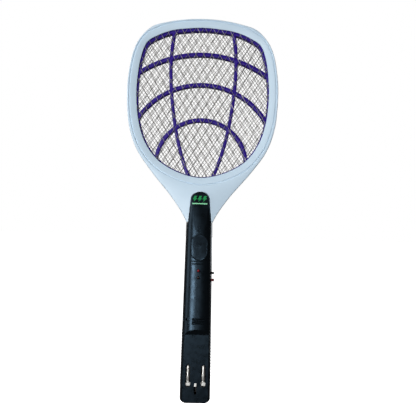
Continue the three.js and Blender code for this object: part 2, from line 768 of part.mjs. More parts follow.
function screwBosses(side) {
  const [near, far] = side < 0 ? [FRONT + BOSS_SINK, -SPLIT] : [SPLIT, -FRONT - BOSS_SINK];
  return HANDLE_SCREWS.slice(1).map((place) => {
    const radius = side < 0 ? BOSS_RADIUS : SEAT_RADIUS + SCREW_BOSS_WALL;
    return rod("y", radius, near, far, place, 12);
  });
}

function switchSlot(height) {
  const [y, z] = [KNOB_DEPTH / 2 + GAP, KNOB_HEIGHT / 2 + GAP];
  return block(
    [halfWidth(height) / 2, SWITCH_Y - y, height - z],
    [FAR, SWITCH_Y + y, height + z + SWITCH_TRAVEL],
  );
}

// Openings in the plug face: two pin slots and the thumb tab's groove.
function plugOpenings() {
  const half = PIN_RADIUS + SLOT_CLEARANCE;
  const tip = PIVOT_HEIGHT + PIN_REACH + PIVOT_DEPTH;
  const low = PIVOT_HEIGHT - KNUCKLE_RADIUS - 2 * GAP;
  const slots = [-1, 1].map((side) => {
    const x = (side * PIN_SPACING) / 2;
    return block([x - half, -FAR, low], [x + half, PIVOT_Y, tip + SLOT_END]);
  });
  const groove = block(
    [-TAB_WIDTH / 2 - GAP, -FAR, PIVOT_HEIGHT - TAB_REACH - GROOVE_DROP],
    [TAB_WIDTH / 2 + GAP, PIVOT_Y, PIVOT_HEIGHT + TAB_HEIGHT / 2 + GAP],
  );
  return [...slots, groove];
}

// A lug inside the left corner, with the strap hole through it.
function strapLug() {
  const size = STRAP_RADIUS + STRAP_WALL;
  const low = STRAP_HEIGHT - size;
  const high = STRAP_HEIGHT + size;
  return block([-FAR, FRONT, low], [-STRAP_OFFSET + size, -STRAP_LUG_BACK, high]).intersect(
    handleBody(low - size, high + size, HANDLE_WALL / 2),
  );
}

function strapHole() {
  const front = rod("y", STRAP_RADIUS, -FAR, -STRAP_DEPTH, [-STRAP_OFFSET, STRAP_HEIGHT], 16);
  const side = rod("x", STRAP_RADIUS, -FAR, -STRAP_OFFSET, [-STRAP_DEPTH, STRAP_HEIGHT], 16);
  return front.add(side);
}

function handleFront() {
  const cavity = CAVITY.subtract(plugFaceCutter(FACE_WALL));
  const shell = OUTER_BODY.subtract(facetCutter(-1)).subtract(cavity);
  const posts = BOARD_SCREWS.map((place) =>
    rod("y", BOSS_RADIUS, FRONT + BOSS_SINK, BOARD_FRONT - GAP, place, 12),
  );
  const brackets = RETAINER_SCREWS.map((place) =>
    rod("y", BOSS_RADIUS, FACE_Y + BOSS_SINK, RETAINER_FLOOR - GAP, place, 12),
  );
  const bosses = joined([...screwBosses(-1), ...posts, ...brackets]).intersect(OUTER_BODY);
  const half = shell.add(bosses).add(strapLug());
  return cutAll(half, [
    neckSpace(),
    block([-FAR, -SPLIT, -FAR], [FAR, FAR, FAR]),
    plate(stadium(BUTTON_WIDTH, BUTTON_LENGTH, BUTTON_HEIGHT), -FAR, FRONT / 3),
    rod("y", LED_RADIUS + GAP, -FAR, FRONT / 2, [0, POWER_LED_HEIGHT], 16),
    rod("y", LED_RADIUS + GAP, -FAR, FRONT / 2, [0, CHARGE_LED_HEIGHT], 16),
    switchSlot(POWER_SWITCH_HEIGHT),
    switchSlot(LAMP_SWITCH_HEIGHT),
    strapHole(),
    ...plugOpenings(),
    ...[...HANDLE_SCREWS.slice(1), ...BOARD_SCREWS, ...RETAINER_SCREWS].map((place) =>
      rod("y", HOLE_RADIUS, FACE_Y + FACE_WALL, FAR, place, 8),
    ),
  ]);
}

function handleRear() {
  const shell = WHOLE_BODY.subtract(facetCutter(1)).subtract(CAVITY);
  const far = -FRONT - BOSS_SINK;
  const posts = CHARGER_POSTS.map((place) =>
    rod("y", CHARGER_POST_RADIUS, CHARGER_BACK + GAP, far, place, 10),
  );
  const neckBoss = rod("y", SEAT_RADIUS + SCREW_BOSS_WALL, HEAD_FACE, far, HANDLE_SCREWS[0], 12);
  const bosses = joined([...screwBosses(1), ...posts, neckBoss]).intersect(WHOLE_BODY);
  return cutAll(shell.add(bosses), [
    neckSpace(),
    block([-FAR, -FAR, -FAR], [FAR, SPLIT, FAR]),
    ...HANDLE_SCREWS.map((place) => rod("y", HOLE_RADIUS, -FAR, FAR, place, 8)),
    ...HANDLE_SCREWS.map((place, index) => {
      const seat = index === 0 ? NECK_SCREW_SEAT : SCREW_SEAT;
      return rod("y", SEAT_RADIUS, seat, FAR, place, 12);
    }),
  ]);
}

// ---------------------------------------------------------------- screws

// A pan-head screw with a cross recess, driven towards -Y, its head resting at a seat.
function screw(place, seat, length) {
  const shank = rod("y", SCREW_RADIUS, seat - length, seat + 2 * GAP, place, 8);
  const head = rod("y", SCREW_HEAD_RADIUS, seat + GAP, seat + GAP + SCREW_HEAD_HEIGHT, place, 12);
  const [x, z] = place;
  const floor = seat + GAP + SCREW_HEAD_HEIGHT - RECESS_DEPTH;
  const slot = (across, along) =>
    block([x - across, floor, z - along], [x + across, FAR, z + along]);
  const slots = [slot(RECESS_REACH, RECESS_WIDTH / 2), slot(RECESS_WIDTH / 2, RECESS_REACH)];
  return cutAll(shank.add(head), slots);
}

const headScrew = (place) =>
  screw([place.x, place.y], HEAD_SCREW_SEAT, HEAD_DEPTH - FRAME_WALL - HEAD_SCREW_TIP);

function handleScrew(place, index) {
  if (index === 0) return screw(place, NECK_SCREW_SEAT, HEAD_DEPTH - NECK_SCREW_TIP);
  return screw(place, SCREW_SEAT, SCREW_SEAT + HANDLE_SCREW_BITE);
}

// ---------------------------------------------------------------- button and switches

function pushButton() {
  const back = HANDLE_WALL + BUTTON_THICKNESS - BUTTON_PROUD;
  const [low, high] = [BUTTON_HEIGHT - BUTTON_LENGTH, BUTTON_HEIGHT + BUTTON_LENGTH];
  const layer = (outer, inner) =>
    handleBody(low, high, outer).subtract(handleBody(low - 1, high + 1, inner));
  const outline = (reach) =>
    plate(stadium(BUTTON_WIDTH + 2 * reach, BUTTON_LENGTH + 2 * reach, BUTTON_HEIGHT), -FAR, FRONT / 2);
  const cap = outline(-GAP);
  const flange = outline(BUTTON_FLANGE);
  const stemFront = FRONT + (back - BUTTON_PROUD + HANDLE_WALL) / 2;
  const stem = rod("y", STEM_RADIUS, stemFront, PLUNGER_TOP - GAP, [0, BUTTON_HEIGHT]);
  return cap
    .intersect(layer(-BUTTON_PROUD, back))
    .add(flange.intersect(layer(HANDLE_WALL + GAP, back)))
    .add(stem);
}

function tactSwitch() {
  const half = TACT_SIZE / 2;
  const body = block(
    [-half, TACT_TOP, BUTTON_HEIGHT - half],
    [half, BOARD_FRONT - GAP, BUTTON_HEIGHT + half],
  );
  const floor = TACT_TOP + BUTTON_TRAVEL + PLUNGER_ROOM;
  const bore = rod("y", PLUNGER_RADIUS + GAP, -FAR, floor, [0, BUTTON_HEIGHT]);
  return body.subtract(bore);
}

const plunger = () =>
  rod("y", PLUNGER_RADIUS, PLUNGER_TOP, TACT_TOP + 1, [0, BUTTON_HEIGHT]);

function switchBody(height) {
  const right = switchFace(height);
  const low = height - SWITCH_BODY[2] / 2 + SWITCH_TRAVEL / 2;
  return block(
    [right - SWITCH_BODY[0], BOARD_FRONT - GAP - SWITCH_BODY[1], low],
    [right, BOARD_FRONT - GAP, low + SWITCH_BODY[2]],
  );
}

// X of the switch body's outer face: the knob's flange fits between it and the handle's wall.
const switchFace = (height) => halfWidth(height) - HANDLE_WALL - SWITCH_SETBACK;

function switchKnob(height) {
  const start = switchFace(height) + GAP;
  const [y, z] = [KNOB_DEPTH / 2, KNOB_HEIGHT / 2];
  const end = halfWidth(height) + KNOB_PROUD;
  const stem = block([start, SWITCH_Y - y, height - z], [end, SWITCH_Y + y, height + z]);
  const flange = block(
    [start, SWITCH_Y - y, height - z - KNOB_FLANGE],
    [start + KNOB_FLANGE, SWITCH_Y + y, height + z + KNOB_FLANGE],
  );
  return stem.add(flange);
}

function led(height) {
  const tip = FRONT - LED_PROUD;
  const lens = new THREE.LatheGeometry(
    [
      [0, 0],
      [LED_RADIUS, 0],
      [LED_RADIUS, LED_BODY - LED_RADIUS],
      [LED_RADIUS * 0.87, LED_BODY - LED_RADIUS * 0.5],
      [LED_RADIUS * 0.5, LED_BODY - LED_RADIUS * 0.13],
      [0, LED_BODY],
    ].map(([r, h]) => new THREE.Vector2(r, h)),
    16,
  );
  lens.rotateX(Math.PI);
  lens.translate(0, tip + LED_BODY, height);
  const half = LED_LEG / 2;
  const legs = [-LED_LEG_OFFSET, LED_LEG_OFFSET].map((x) =>
    block(
      [x - half, tip + LED_BODY - LED_LEG, height - half],
      [x + half, BOARD_FRONT - GAP, height + half],
    ),
  );
  return joined([solid(lens), ...legs]);
}

// ---------------------------------------------------------------- electronics

function circuitBoard() {
  const half = BOARD_WIDTH / 2;
  const board = block([-half, BOARD_FRONT, BOARD_BOTTOM], [half, BOARD_BACK, BOARD_TOP]);
  return cutAll(
    board,
    BOARD_SCREWS.map((place) => rod("y", HOLE_RADIUS, -FAR, FAR, place, 8)),
  );
}

const boardScrew = (place) => screw(place, BOARD_BACK, SHORT_SCREW);

// A ferrite core: a block with a window on each side of its middle leg.
function transformerCore() {
  const [x, y, z] = TRANSFORMER.map((size) => size / 2);
  const middle = TRANSFORMER_MIDDLE;
  const core = block(
    [-x, middle - y, TRANSFORMER_HEIGHT - z],
    [x, middle + y, TRANSFORMER_HEIGHT + z],
  );
  const window = [CORE_LEG / 2, x - CORE_LEG / 2];
  const half = z - CORE_LEG / 2;
  const windows = [-1, 1].map((side) => {
    const [left, right] = window.map((edge) => side * edge).sort((a, b) => a - b);
    return block([left, -FAR, TRANSFORMER_HEIGHT - half], [right, FAR, TRANSFORMER_HEIGHT + half]);
  });
  return cutAll(core, windows);
}

// The winding goes round the middle leg, through both windows.
function transformerWinding() {
  const [x, y, z] = TRANSFORMER.map((size) => size / 2);
  const middle = TRANSFORMER_MIDDLE;
  const half = z - CORE_LEG / 2 - GAP;
  const side = x - CORE_LEG / 2 - GAP;
  const around = (width, depth, height) =>
    block(
      [-width, middle - depth, TRANSFORMER_HEIGHT - height],
      [width, middle + depth, TRANSFORMER_HEIGHT + height],
    );
  return around(side, y + WINDING_BUILD, half).subtract(around(CORE_LEG / 2 + GAP, y + GAP, FAR));
}

// A block on two legs that reach down to a board's rear face.
function boardPart({ place, size }, face) {
  const [x, z] = place;
  const [width, depth, height] = size;
  const near = face + GAP + PART_LIFT;
  const body = block(
    [x - width / 2, near, z - height / 2],
    [x + width / 2, near + depth, z + height / 2],
  );
  const half = PART_LEG / 2;
  const legs = [-1, 1].map((side) => {
    const at = x + (side * width) / 4;
    return block([at - half, face + GAP, z - half], [at + half, near + half, z + half]);
  });
  return joined([body, ...legs]);
}

// The largest part of the charger fills the room between its board and the rear wall.
function chargerCapacitor() {
  const { place, width, height } = CHARGER_CAPACITOR;
  const room = -FRONT - HANDLE_WALL - (CHARGER_BACK + GAP + PART_LIFT);
  return boardPart({ place, size: [width, room - CHARGER_CLEARANCE, height] }, CHARGER_BACK);
}

function chargerBoard() {
  const half = CHARGER_BOARD[0] / 2;
  const top = CHARGER_BOTTOM + CHARGER_BOARD[2];
  return block([-half, CHARGER_FRONT, CHARGER_BOTTOM], [half, CHARGER_BACK, top]);
}

function batteryBlock() {
  const half = BATTERY[0] / 2;
  const [low, high] = [BATTERY_BOTTOM, BATTERY_TOP];
  const shape = [
    [-half + BATTERY_CORNER, low],
    [half - BATTERY_CORNER, low],
    [half, low + BATTERY_CORNER],
    [half, high],
    [-half, high],
    [-half, low + BATTERY_CORNER],
  ].map(([x, z]) => new THREE.Vector2(x, z));
  const box = plate(shape, BATTERY_FRONT, BATTERY_FRONT + BATTERY[1], [], { size: BATTERY_CORNER });
  const [across, deep, tall] = BATTERY_POST;
  const posts = [-BATTERY_POST_OFFSET, BATTERY_POST_OFFSET].map((x) =>
    block(
      [x - across / 2, BATTERY_MIDDLE - deep / 2, high - deep],
      [x + across / 2, BATTERY_MIDDLE + deep / 2, high + tall],
    ),
  );
  return joined([box, ...posts]);
}

function batteryPad() {
  const half = BATTERY[0] / 2 - PAD_INSET;
  const front = FACE_Y + FACE_WALL + GAP / 2;
  return block(
    [-half, front, BATTERY_BOTTOM + PAD_INSET],
    [half, front + PAD_THICKNESS, FACE_TOP - PAD_INSET],
  );
}

// A lead along a smooth route.
function lead(route) {
  const curve = new THREE.CatmullRomCurve3(route.map((p) => new THREE.Vector3(...p)));
  const section = new THREE.Shape().absarc(0, 0, LEAD_RADIUS, 0, 2 * Math.PI, false);
  return new THREE.ExtrudeGeometry(shapeOf(section.getPoints(6).slice(0, -1)), {
    steps: 12,
    extrudePath: curve,
    bevelEnabled: false,
  });
}

const NET_EDGE = OPENING_BOTTOM - NET_SEAT - GAP; // lowest point of a net's border
const INSIDE_WALL = halfWidth(BATTERY_TOP) - HANDLE_WALL;
const BESIDE_BATTERY = (BATTERY[0] / 2 + INSIDE_WALL) / 2;
const BEHIND_BOARD = BOARD_BACK + GAP + LEAD_RADIUS;
const BEHIND_CHARGER = CHARGER_FRONT - GAP - LEAD_RADIUS;
const POST_END = BATTERY_TOP + BATTERY_POST[2] + 2 * GAP;
const BOARD_EDGE = BOARD_WIDTH / 2 - 2 * LEAD_RADIUS;

const LEADS = [
  {
    name: "outer_net_lead",
    material: WIRE_RED,
    route: [
      [-6, BEHIND_BOARD, BOARD_TOP - 6],
      [-6, BEHIND_BOARD, HANDLE_LENGTH - INSERT_LENGTH],
      [-6, -3, HANDLE_LENGTH + 4],
      [-LEAD_OFFSET, -4.5, NET_EDGE - 12],
      [-LEAD_OFFSET, -NET_MIDDLE, NET_EDGE],
    ],
  },
  {
    name: "inner_net_lead",
    material: WIRE_BLACK,
    route: [
      [8, BEHIND_BOARD, BOARD_TOP - 6],
      [6, BEHIND_BOARD, HANDLE_LENGTH - INSERT_LENGTH],
      [6, -1, HANDLE_LENGTH + 4],
      [LEAD_OFFSET, 0, NET_EDGE - 12],
      [LEAD_OFFSET, 0, NET_EDGE],
    ],
  },
  {
    name: "battery_lead_red",
    material: WIRE_RED,
    route: [
      [BATTERY_POST_OFFSET, BATTERY_MIDDLE, POST_END],
      [BATTERY_POST_OFFSET, BATTERY_MIDDLE, BATTERY_TOP + 8],
      [5, BEHIND_BOARD, BOARD_BOTTOM + 1],
      [5, BEHIND_BOARD, BOARD_BOTTOM + 6],
    ],
  },
  {
    name: "battery_lead_black",
    material: WIRE_BLACK,
    route: [
      [-BATTERY_POST_OFFSET, BATTERY_MIDDLE, POST_END],
      [-BATTERY_POST_OFFSET, BATTERY_MIDDLE, BATTERY_TOP + 8],
      [-2, BEHIND_BOARD, BOARD_BOTTOM + 1],
      [-2, BEHIND_BOARD, BOARD_BOTTOM + 6],
    ],
  },
  {
    name: "charge_lead_red",
    material: WIRE_RED,
    route: [
      [10, BEHIND_CHARGER, LEAD_START],
      [BESIDE_BATTERY, 0.5, BATTERY_BOTTOM],
      [BESIDE_BATTERY, 0, BATTERY_BOTTOM + 5],
      [BESIDE_BATTERY, -1.2, BATTERY_BOTTOM + 25],
      [BESIDE_BATTERY, -1.2, BATTERY_TOP + 3],
      [BESIDE_BATTERY, -1.2, BATTERY_TOP + 8],
      [BOARD_EDGE, BEHIND_BOARD, BOARD_BOTTOM + 8],
    ],
  },
  {
    name: "charge_lead_black",
    material: WIRE_BLACK,
    route: [
      [-10, BEHIND_CHARGER, LEAD_START],
      [-BESIDE_BATTERY, 0.5, BATTERY_BOTTOM],
      [-BESIDE_BATTERY, 0, BATTERY_BOTTOM + 5],
      [-BESIDE_BATTERY, -1.2, BATTERY_BOTTOM + 25],
      [-BESIDE_BATTERY, -1.2, BATTERY_TOP + 3],
      [-BESIDE_BATTERY, -1.2, BATTERY_TOP + 8],
      [-BOARD_EDGE, BEHIND_BOARD, BOARD_BOTTOM + 12],
    ],
  },
];

// ---------------------------------------------------------------- fold-out plug

function plugCarrier() {
  const end = PIN_SPACING / 2 + PIN_RADIUS + SHAFT_END;
  const shaft = rod("x", SHAFT_RADIUS, -end, end, [PIVOT_Y, PIVOT_HEIGHT]);
  const knuckles = [-1, 1].map((side) => {
    const x = (side * PIN_SPACING) / 2;
    const half = KNUCKLE_WIDTH / 2;
    return rod("x", KNUCKLE_RADIUS, x - half, x + half, [PIVOT_Y, PIVOT_HEIGHT]);
  });
  const sockets = [-1, 1].map((side) =>
    rod("z", SOCKET_RADIUS, -FAR, FAR, [(side * PIN_SPACING) / 2, PIVOT_Y], 16),
  );
  const half = TAB_WIDTH / 2;
  const tab = block(
    [-half, PIVOT_Y - TAB_REACH, PIVOT_HEIGHT - TAB_HEIGHT / 2],
    [half, PIVOT_Y, PIVOT_HEIGHT + TAB_HEIGHT / 2],
  );
  const body = shaft.add(knuckles[0]).add(knuckles[1]).add(tab);
  return cutAll(body, sockets);
}

// A pin with a rounded tip; its thin root runs through the carrier.
function plugPin(side) {
  const reach = PIN_REACH + PIVOT_DEPTH;
  const base = KNUCKLE_RADIUS + GAP;
  const root = -KNUCKLE_RADIUS - 0.4;
  const profile = [
    [0, root],
    [PIN_ROOT_RADIUS, root],
    [PIN_ROOT_RADIUS, base],
    [PIN_RADIUS, base],
    [PIN_RADIUS, reach - PIN_RADIUS * 0.6],
    [PIN_RADIUS * 0.8, reach - PIN_RADIUS * 0.2],
    [PIN_RADIUS * 0.45, reach],
    [0, reach],
  ].map(([r, h]) => new THREE.Vector2(r, h));
  const pin = new THREE.LatheGeometry(profile, 16);
  pin.rotateX(Math.PI / 2);
  return pin.translate((side * PIN_SPACING) / 2, PIVOT_Y, PIVOT_HEIGHT);
}

// The bracket behind the plug: a floor with saddles that hold the shaft.
function plugRetainer() {
  const half = PIN_SPACING / 2 + PIN_RADIUS + RETAINER_MARGIN;
  const top = PIVOT_HEIGHT + PIN_REACH + PIVOT_DEPTH + RETAINER_MARGIN;
  const base = block(
    [-half, RETAINER_FLOOR, CHARGER_BOTTOM],
    [half, RETAINER_FLOOR + RETAINER_THICKNESS, top],
  );
  const [wide, tall] = SADDLE;
  const saddles = [-1, 1].map((side) => {
    const x = side * SADDLE_OFFSET;
    return block(
      [x - wide / 2, PIVOT_Y - GAP, PIVOT_HEIGHT - tall / 2],
      [x + wide / 2, RETAINER_FLOOR + RETAINER_THICKNESS / 2, PIVOT_HEIGHT + tall / 2],
    );
  });
  const seat = rod("x", SHAFT_RADIUS + GAP, -FAR, FAR, [PIVOT_Y, PIVOT_HEIGHT]);
  const holes = RETAINER_SCREWS.map((place) => rod("y", HOLE_RADIUS, -FAR, FAR, place, 8));
  return cutAll(joined([base, ...saddles]), [seat, ...holes]);
}

const retainerScrew = (place) =>
  screw(place, RETAINER_FLOOR + RETAINER_THICKNESS, SHORT_SCREW);

// A contact strip on the retainer, behind a folded pin.
function plugContact(side) {
  const [width, thickness, length] = CONTACT;
  const low = PIVOT_HEIGHT + CONTACT_RISE;
  const back = RETAINER_FLOOR - GAP;
  const front = back - thickness;
  const profile = [
    [back, low + length],
    [front, low + length],
    [front, low],
    [back, low + thickness],
  ];
  const x = (side * PIN_SPACING) / 2;
  return slab(profile, x - width / 2, x + width / 2);
}

// ---------------------------------------------------------------- assembly

const swatter = new THREE.Group();
const fromBottom = new THREE.Group();
fromBottom.position.z = -GRIP_HEIGHT;
swatter.add(fromBottom);

function add(name, shape, material) {
  const geometry = shape.isBufferGeometry ? shape : geometryOf(shape);
  const mesh = new THREE.Mesh(geometry, material);
  mesh.name = name;
  fromBottom.add(mesh);
}

add("front_frame", frameHalf(-1), FRAME_BLUE);
add("rear_frame", frameHalf(1), FRAME_BLUE);
add("front_net", net(COARSE_PITCH, COARSE_ANGLE, COARSE_WIRE, -NET_MIDDLE), NET_STEEL);
add("middle_net", net(FINE_PITCH, FINE_ANGLE, FINE_WIRE, 0), NET_STEEL);
add("rear_net", net(COARSE_PITCH, COARSE_ANGLE, COARSE_WIRE, NET_MIDDLE), NET_STEEL);
add("front_spacer", spacer(-1), SPACER_PURPLE);
add("rear_spacer", spacer(1), SPACER_PURPLE);
HEAD_SCREW_PLACES.forEach((place, index) =>
  add("head_screw_" + (index + 1), headScrew(place), SCREW_STEEL),
);
add("handle_front", handleFront(), BLACK_PLASTIC);
add("handle_rear", handleRear(), BLACK_PLASTIC);
HANDLE_SCREWS.forEach((place, index) =>
  add("handle_screw_" + (index + 1), handleScrew(place, index), SCREW_STEEL),
);
add("push_button", pushButton(), BUTTON_BLACK);
add("switch_plunger", plunger(), BUTTON_BLACK);
add("tact_switch", tactSwitch(), SCREW_STEEL);
add("power_led", led(POWER_LED_HEIGHT), RED_LENS);
add("charge_led", led(CHARGE_LED_HEIGHT), DARK_LENS);
add("power_switch_body", switchBody(POWER_SWITCH_HEIGHT), SCREW_STEEL);
add("power_switch_knob", switchKnob(POWER_SWITCH_HEIGHT), BLACK_PLASTIC);
add("lamp_switch_body", switchBody(LAMP_SWITCH_HEIGHT), SCREW_STEEL);
add("lamp_switch_knob", switchKnob(LAMP_SWITCH_HEIGHT), RED_PLASTIC);
add("circuit_board", circuitBoard(), BOARD_GREEN);
BOARD_SCREWS.forEach((place, index) =>
  add("board_screw_" + (index + 1), boardScrew(place), SCREW_STEEL),
);
add("transformer_core", transformerCore(), FERRITE);
add("transformer_winding", transformerWinding(), YELLOW_TAPE);
add("storage_capacitor", boardPart(STORAGE_CAPACITOR, BOARD_BACK), FILM_RED);
add("doubler_capacitor", boardPart(DOUBLER_CAPACITOR, BOARD_BACK), FILM_RED);
add("transistor", boardPart(TRANSISTOR, BOARD_BACK), FERRITE);
add("bleed_resistor", boardPart(BLEED_RESISTOR, BOARD_BACK), RESISTOR_TAN);
add("charger_capacitor", chargerCapacitor(), YELLOW_TAPE);
add("charger_resistor", boardPart(CHARGER_RESISTOR, CHARGER_BACK), RESISTOR_TAN);
add("rectifier", boardPart(RECTIFIER, CHARGER_BACK), FERRITE);
add("battery", batteryBlock(), BATTERY_GREY);
add("battery_pad", batteryPad(), FOAM_GREY);
add("charger_board", chargerBoard(), BOARD_GREEN);
add("plug_carrier", plugCarrier(), WHITE_PLASTIC);
add("plug_pin_left", plugPin(-1), PIN_STEEL);
add("plug_pin_right", plugPin(1), PIN_STEEL);
add("plug_retainer", plugRetainer(), WHITE_PLASTIC);
add("plug_contact_left", plugContact(-1), BRASS);
add("plug_contact_right", plugContact(1), BRASS);
RETAINER_SCREWS.forEach((place, index) =>
  add("retainer_screw_" + (index + 1), retainerScrew(place), SCREW_STEEL),
);
LEADS.forEach(({ name, route, material }) => add(name, lead(route), material));

export default swatter;
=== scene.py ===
"""Visible pieces of an electric fly swatter, modelled round its fixed frame."""

import math

import bmesh
import bpy
from bpy.props import FloatProperty, FloatVectorProperty, PointerProperty
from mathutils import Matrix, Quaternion, Vector


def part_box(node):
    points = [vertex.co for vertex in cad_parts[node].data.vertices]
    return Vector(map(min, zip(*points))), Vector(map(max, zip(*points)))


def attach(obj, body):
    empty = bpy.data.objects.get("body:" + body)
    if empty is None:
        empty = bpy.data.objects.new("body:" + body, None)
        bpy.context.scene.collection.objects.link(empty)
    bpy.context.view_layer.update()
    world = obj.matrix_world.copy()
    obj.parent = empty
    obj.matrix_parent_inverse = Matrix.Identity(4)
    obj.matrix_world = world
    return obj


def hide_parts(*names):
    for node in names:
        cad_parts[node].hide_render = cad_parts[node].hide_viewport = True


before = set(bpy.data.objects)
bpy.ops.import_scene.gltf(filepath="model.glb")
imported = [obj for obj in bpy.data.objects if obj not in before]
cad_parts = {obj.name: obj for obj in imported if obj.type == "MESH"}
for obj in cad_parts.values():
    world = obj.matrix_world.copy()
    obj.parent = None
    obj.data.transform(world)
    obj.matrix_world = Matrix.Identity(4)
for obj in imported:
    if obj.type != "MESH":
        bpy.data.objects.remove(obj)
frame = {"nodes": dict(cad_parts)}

bl_info = {
    "name": "Fly Swatter",
    "version": (1, 0, 0),
    "blender": (4, 5, 0),
    "location": "View3D > Sidebar > Swatter",
    "description": "Head, nets, handle, plug and controls of an electric fly swatter",
    "category": "Object",
}

# Lengths are millimetres and heights are measured up from the bottom end of the handle,
# until place() turns a finished mesh into metres with its origin in the middle of the grip.
MM = 0.001
GRIP_HEIGHT = 130.0
GAP = 0.3
SPLIT = 0.02
CAMERA_SPOT = (-0.0179, -0.8118, 0.091)
CAMERA_AIM = (0.0104, 0.0, 0.1124)
CAMERA_LENS = 55.62
CAMERA_ROLL = 1.515
FLOOR_LEVEL = -0.30
FLOOR_RADIUS = 20.0
OPENING_POINTS = 180
RIDGES = (175.8, 172.4)
BARS = (104.8, 102.1, 99.4)
LAMP_HEIGHTS = (164.0, 155.4)
SWITCH_HEIGHTS = (161.0, 152.0)
FAR = 60.0

# Handle
HANDLE_LENGTH = 224.0
BOTTOM_WIDTH = 38.3
TOP_WIDTH = 33.0
HALF_DEPTH = 15.95
ROUNDNESS = 2.8
WALL = 2.2
CORNER = 5.0
TONGUE_TOP = 262.0
TONGUE_TIP = 9.0
TONGUE_TIP_WIDTH = 27.0
FACET_START = 213.0
FACET_SLOPE = 3.7 / 49.0
FACE_DEPTH = 11.5
FACE_TOP = 84.5
RAMP_RISE = 7.0 / 4.5

# Head
HEAD_WIDTH = 190.1
HEAD_HEIGHT = 256.15
RIM_SIDE = 11.6
RIM_TOP = 10.8
NECK_LENGTH = 55.8
HEAD_FACE = 10.0
LIP_INSIDE = 6.6
LIP_FACE = 7.8
NET_SEAT = 2.5
OPENING_WIDTH = HEAD_WIDTH - 2 * RIM_SIDE
OPENING_BOTTOM = HANDLE_LENGTH + NECK_LENGTH
OPENING_HEIGHT = HEAD_HEIGHT - NECK_LENGTH - RIM_TOP
NET_DEPTH = 5.7
SPACER_INSET = 1.2

# Controls
BUTTON_HEIGHT = 192.8
BUTTON_WIDTH = 20.0
BUTTON_LENGTH = 31.5
STRAP_PLACE = (-12.0, 103.5)
STRAP_RADIUS = 2.2
PIN_X = 9.5
PIVOT_HEIGHT = 22.7
PIVOT_DEPTH = 6.7

# Right half of the head's outline, as shares of half its width and of its height.
HEAD_HALF = [
    (0, 1), (0.235, 0.9955), (0.47, 0.981), (0.69, 0.955), (0.842, 0.9), (0.925, 0.839),
    (0.985, 0.727), (1, 0.63), (0.967, 0.472), (0.864, 0.356), (0.667, 0.25), (0.401, 0.132),
]
# Right half of the opening in the same way.
OPENING_HALF = [
    (0, 1), (0.24, 0.993), (0.48, 0.977), (0.69, 0.942), (0.855, 0.895), (0.937, 0.81),
    (0.99, 0.663), (0.998, 0.52), (0.958, 0.365), (0.855, 0.228), (0.65, 0.109),
    (0.346, 0.033), (0, 0),
]
# Height of the centre above the opening's bottom and radius of each curved cross bar.
CROSS_ARCS = [(14.5, 142.0), (21.9, 96.0), (16.2, 57.0)]
# Right long bar: distance from the middle, height above the opening's bottom.
LONG_BAR = [(36.5, 192), (40.5, 160), (41, 129), (37.3, 87), (29.6, 45), (18.8, 10), (12.5, -4)]


# ------------------------------------------------------------------ settings


class SwatterSizes(bpy.types.PropertyGroup):
    """Sizes of the details, in millimetres."""

    coarse_wire: FloatProperty(
        name="Outer net wire", description="Thickness of the outer nets' wires, mm",
        default=0.6, min=0.3, max=1.0)
    fine_wire: FloatProperty(
        name="Middle net wire", description="Thickness of the middle net's wires, mm",
        default=0.5, min=0.2, max=0.6)
    coarse_pitch: FloatProperty(
        name="Outer net pitch", description="Distance between the outer nets' wires, mm",
        default=10.1, min=6.0, max=16.0)
    fine_pitch: FloatProperty(
        name="Middle net pitch", description="Distance between the middle net's wires, mm",
        default=4.4, min=3.0, max=8.0)
    cross_bar: FloatProperty(
        name="Cross bar", description="Width of the spacers' curved cross bars, mm",
        default=5.2, min=2.0, max=8.0)
    long_bar: FloatProperty(
        name="Long bar", description="Width of the spacers' long bars, mm",
        default=4.6, min=2.0, max=8.0)
    rib_pitch: FloatProperty(
        name="Rib pitch", description="Distance between the grip ribs, mm",
        default=3.7, min=2.0, max=8.0)
    rib_height: FloatProperty(
        name="Rib height", description="How far the grip ribs stand out, mm",
        default=0.4, min=0.0, max=1.0)
    button_proud: FloatProperty(
        name="Button height", description="How far the button stands out, mm",
        default=0.5, min=0.0, max=0.5)


def colour(name, description, value):
    """A colour setting."""
    return FloatVectorProperty(
        name=name, description=description, subtype="COLOR", size=3, min=0, max=1, default=value)


class SwatterColours(bpy.types.PropertyGroup):
    """Colours of the pieces."""

    frame: colour("Head frame", "Colour of the moulded head frame", (0.56, 0.70, 0.82))
    spacer: colour("Spacers", "Colour of the bars between the nets", (0.020, 0.004, 0.20))
    handle: colour("Handle", "Colour of the handle and the button", (0.0018, 0.0024, 0.0030))
    emblem: colour("Sign", "Colour of the sign on the tongue", (0.0, 0.24, 0.06))
    bar: colour("Sign bar", "Colour of the bar under the sign", (0.22, 0.62, 0.35))
    lens: colour("Power lamp", "Colour of the power lamp's lens", (0.22, 0.012, 0.02))
    knob: colour("Second knob", "Colour of the lower side knob", (0.09, 0.006, 0.009))


def sizes():
    """The sizes in use."""
    return bpy.context.scene.swatter_sizes


def colours():
    """The colours in use."""
    return bpy.context.scene.swatter_colours


# ------------------------------------------------------------------ meshes


def skin(bm, rings, closed=False):
    """A grid laid over closed rings of places; closed joins the last ring to the first."""
    rows = rings + rings[:1] if closed else rings
    across, along = len(rows[0]), len(rows) - 1
    made = bmesh.ops.create_grid(bm, x_segments=across, y_segments=along, size=0.5)["verts"]
    for vert in made:
        column = round((vert.co.x + 0.5) * across)
        row = round((vert.co.y + 0.5) * along)
        vert.co = rows[row][column % across]
    bmesh.ops.remove_doubles(bm, verts=made, dist=1e-5)


def cap(bm):
    """Closes the open ends."""
    edges = [edge for edge in bm.edges if edge.is_boundary]
    bmesh.ops.holes_fill(bm, edges=edges, sides=0)
    bmesh.ops.recalc_face_normals(bm, faces=bm.faces)


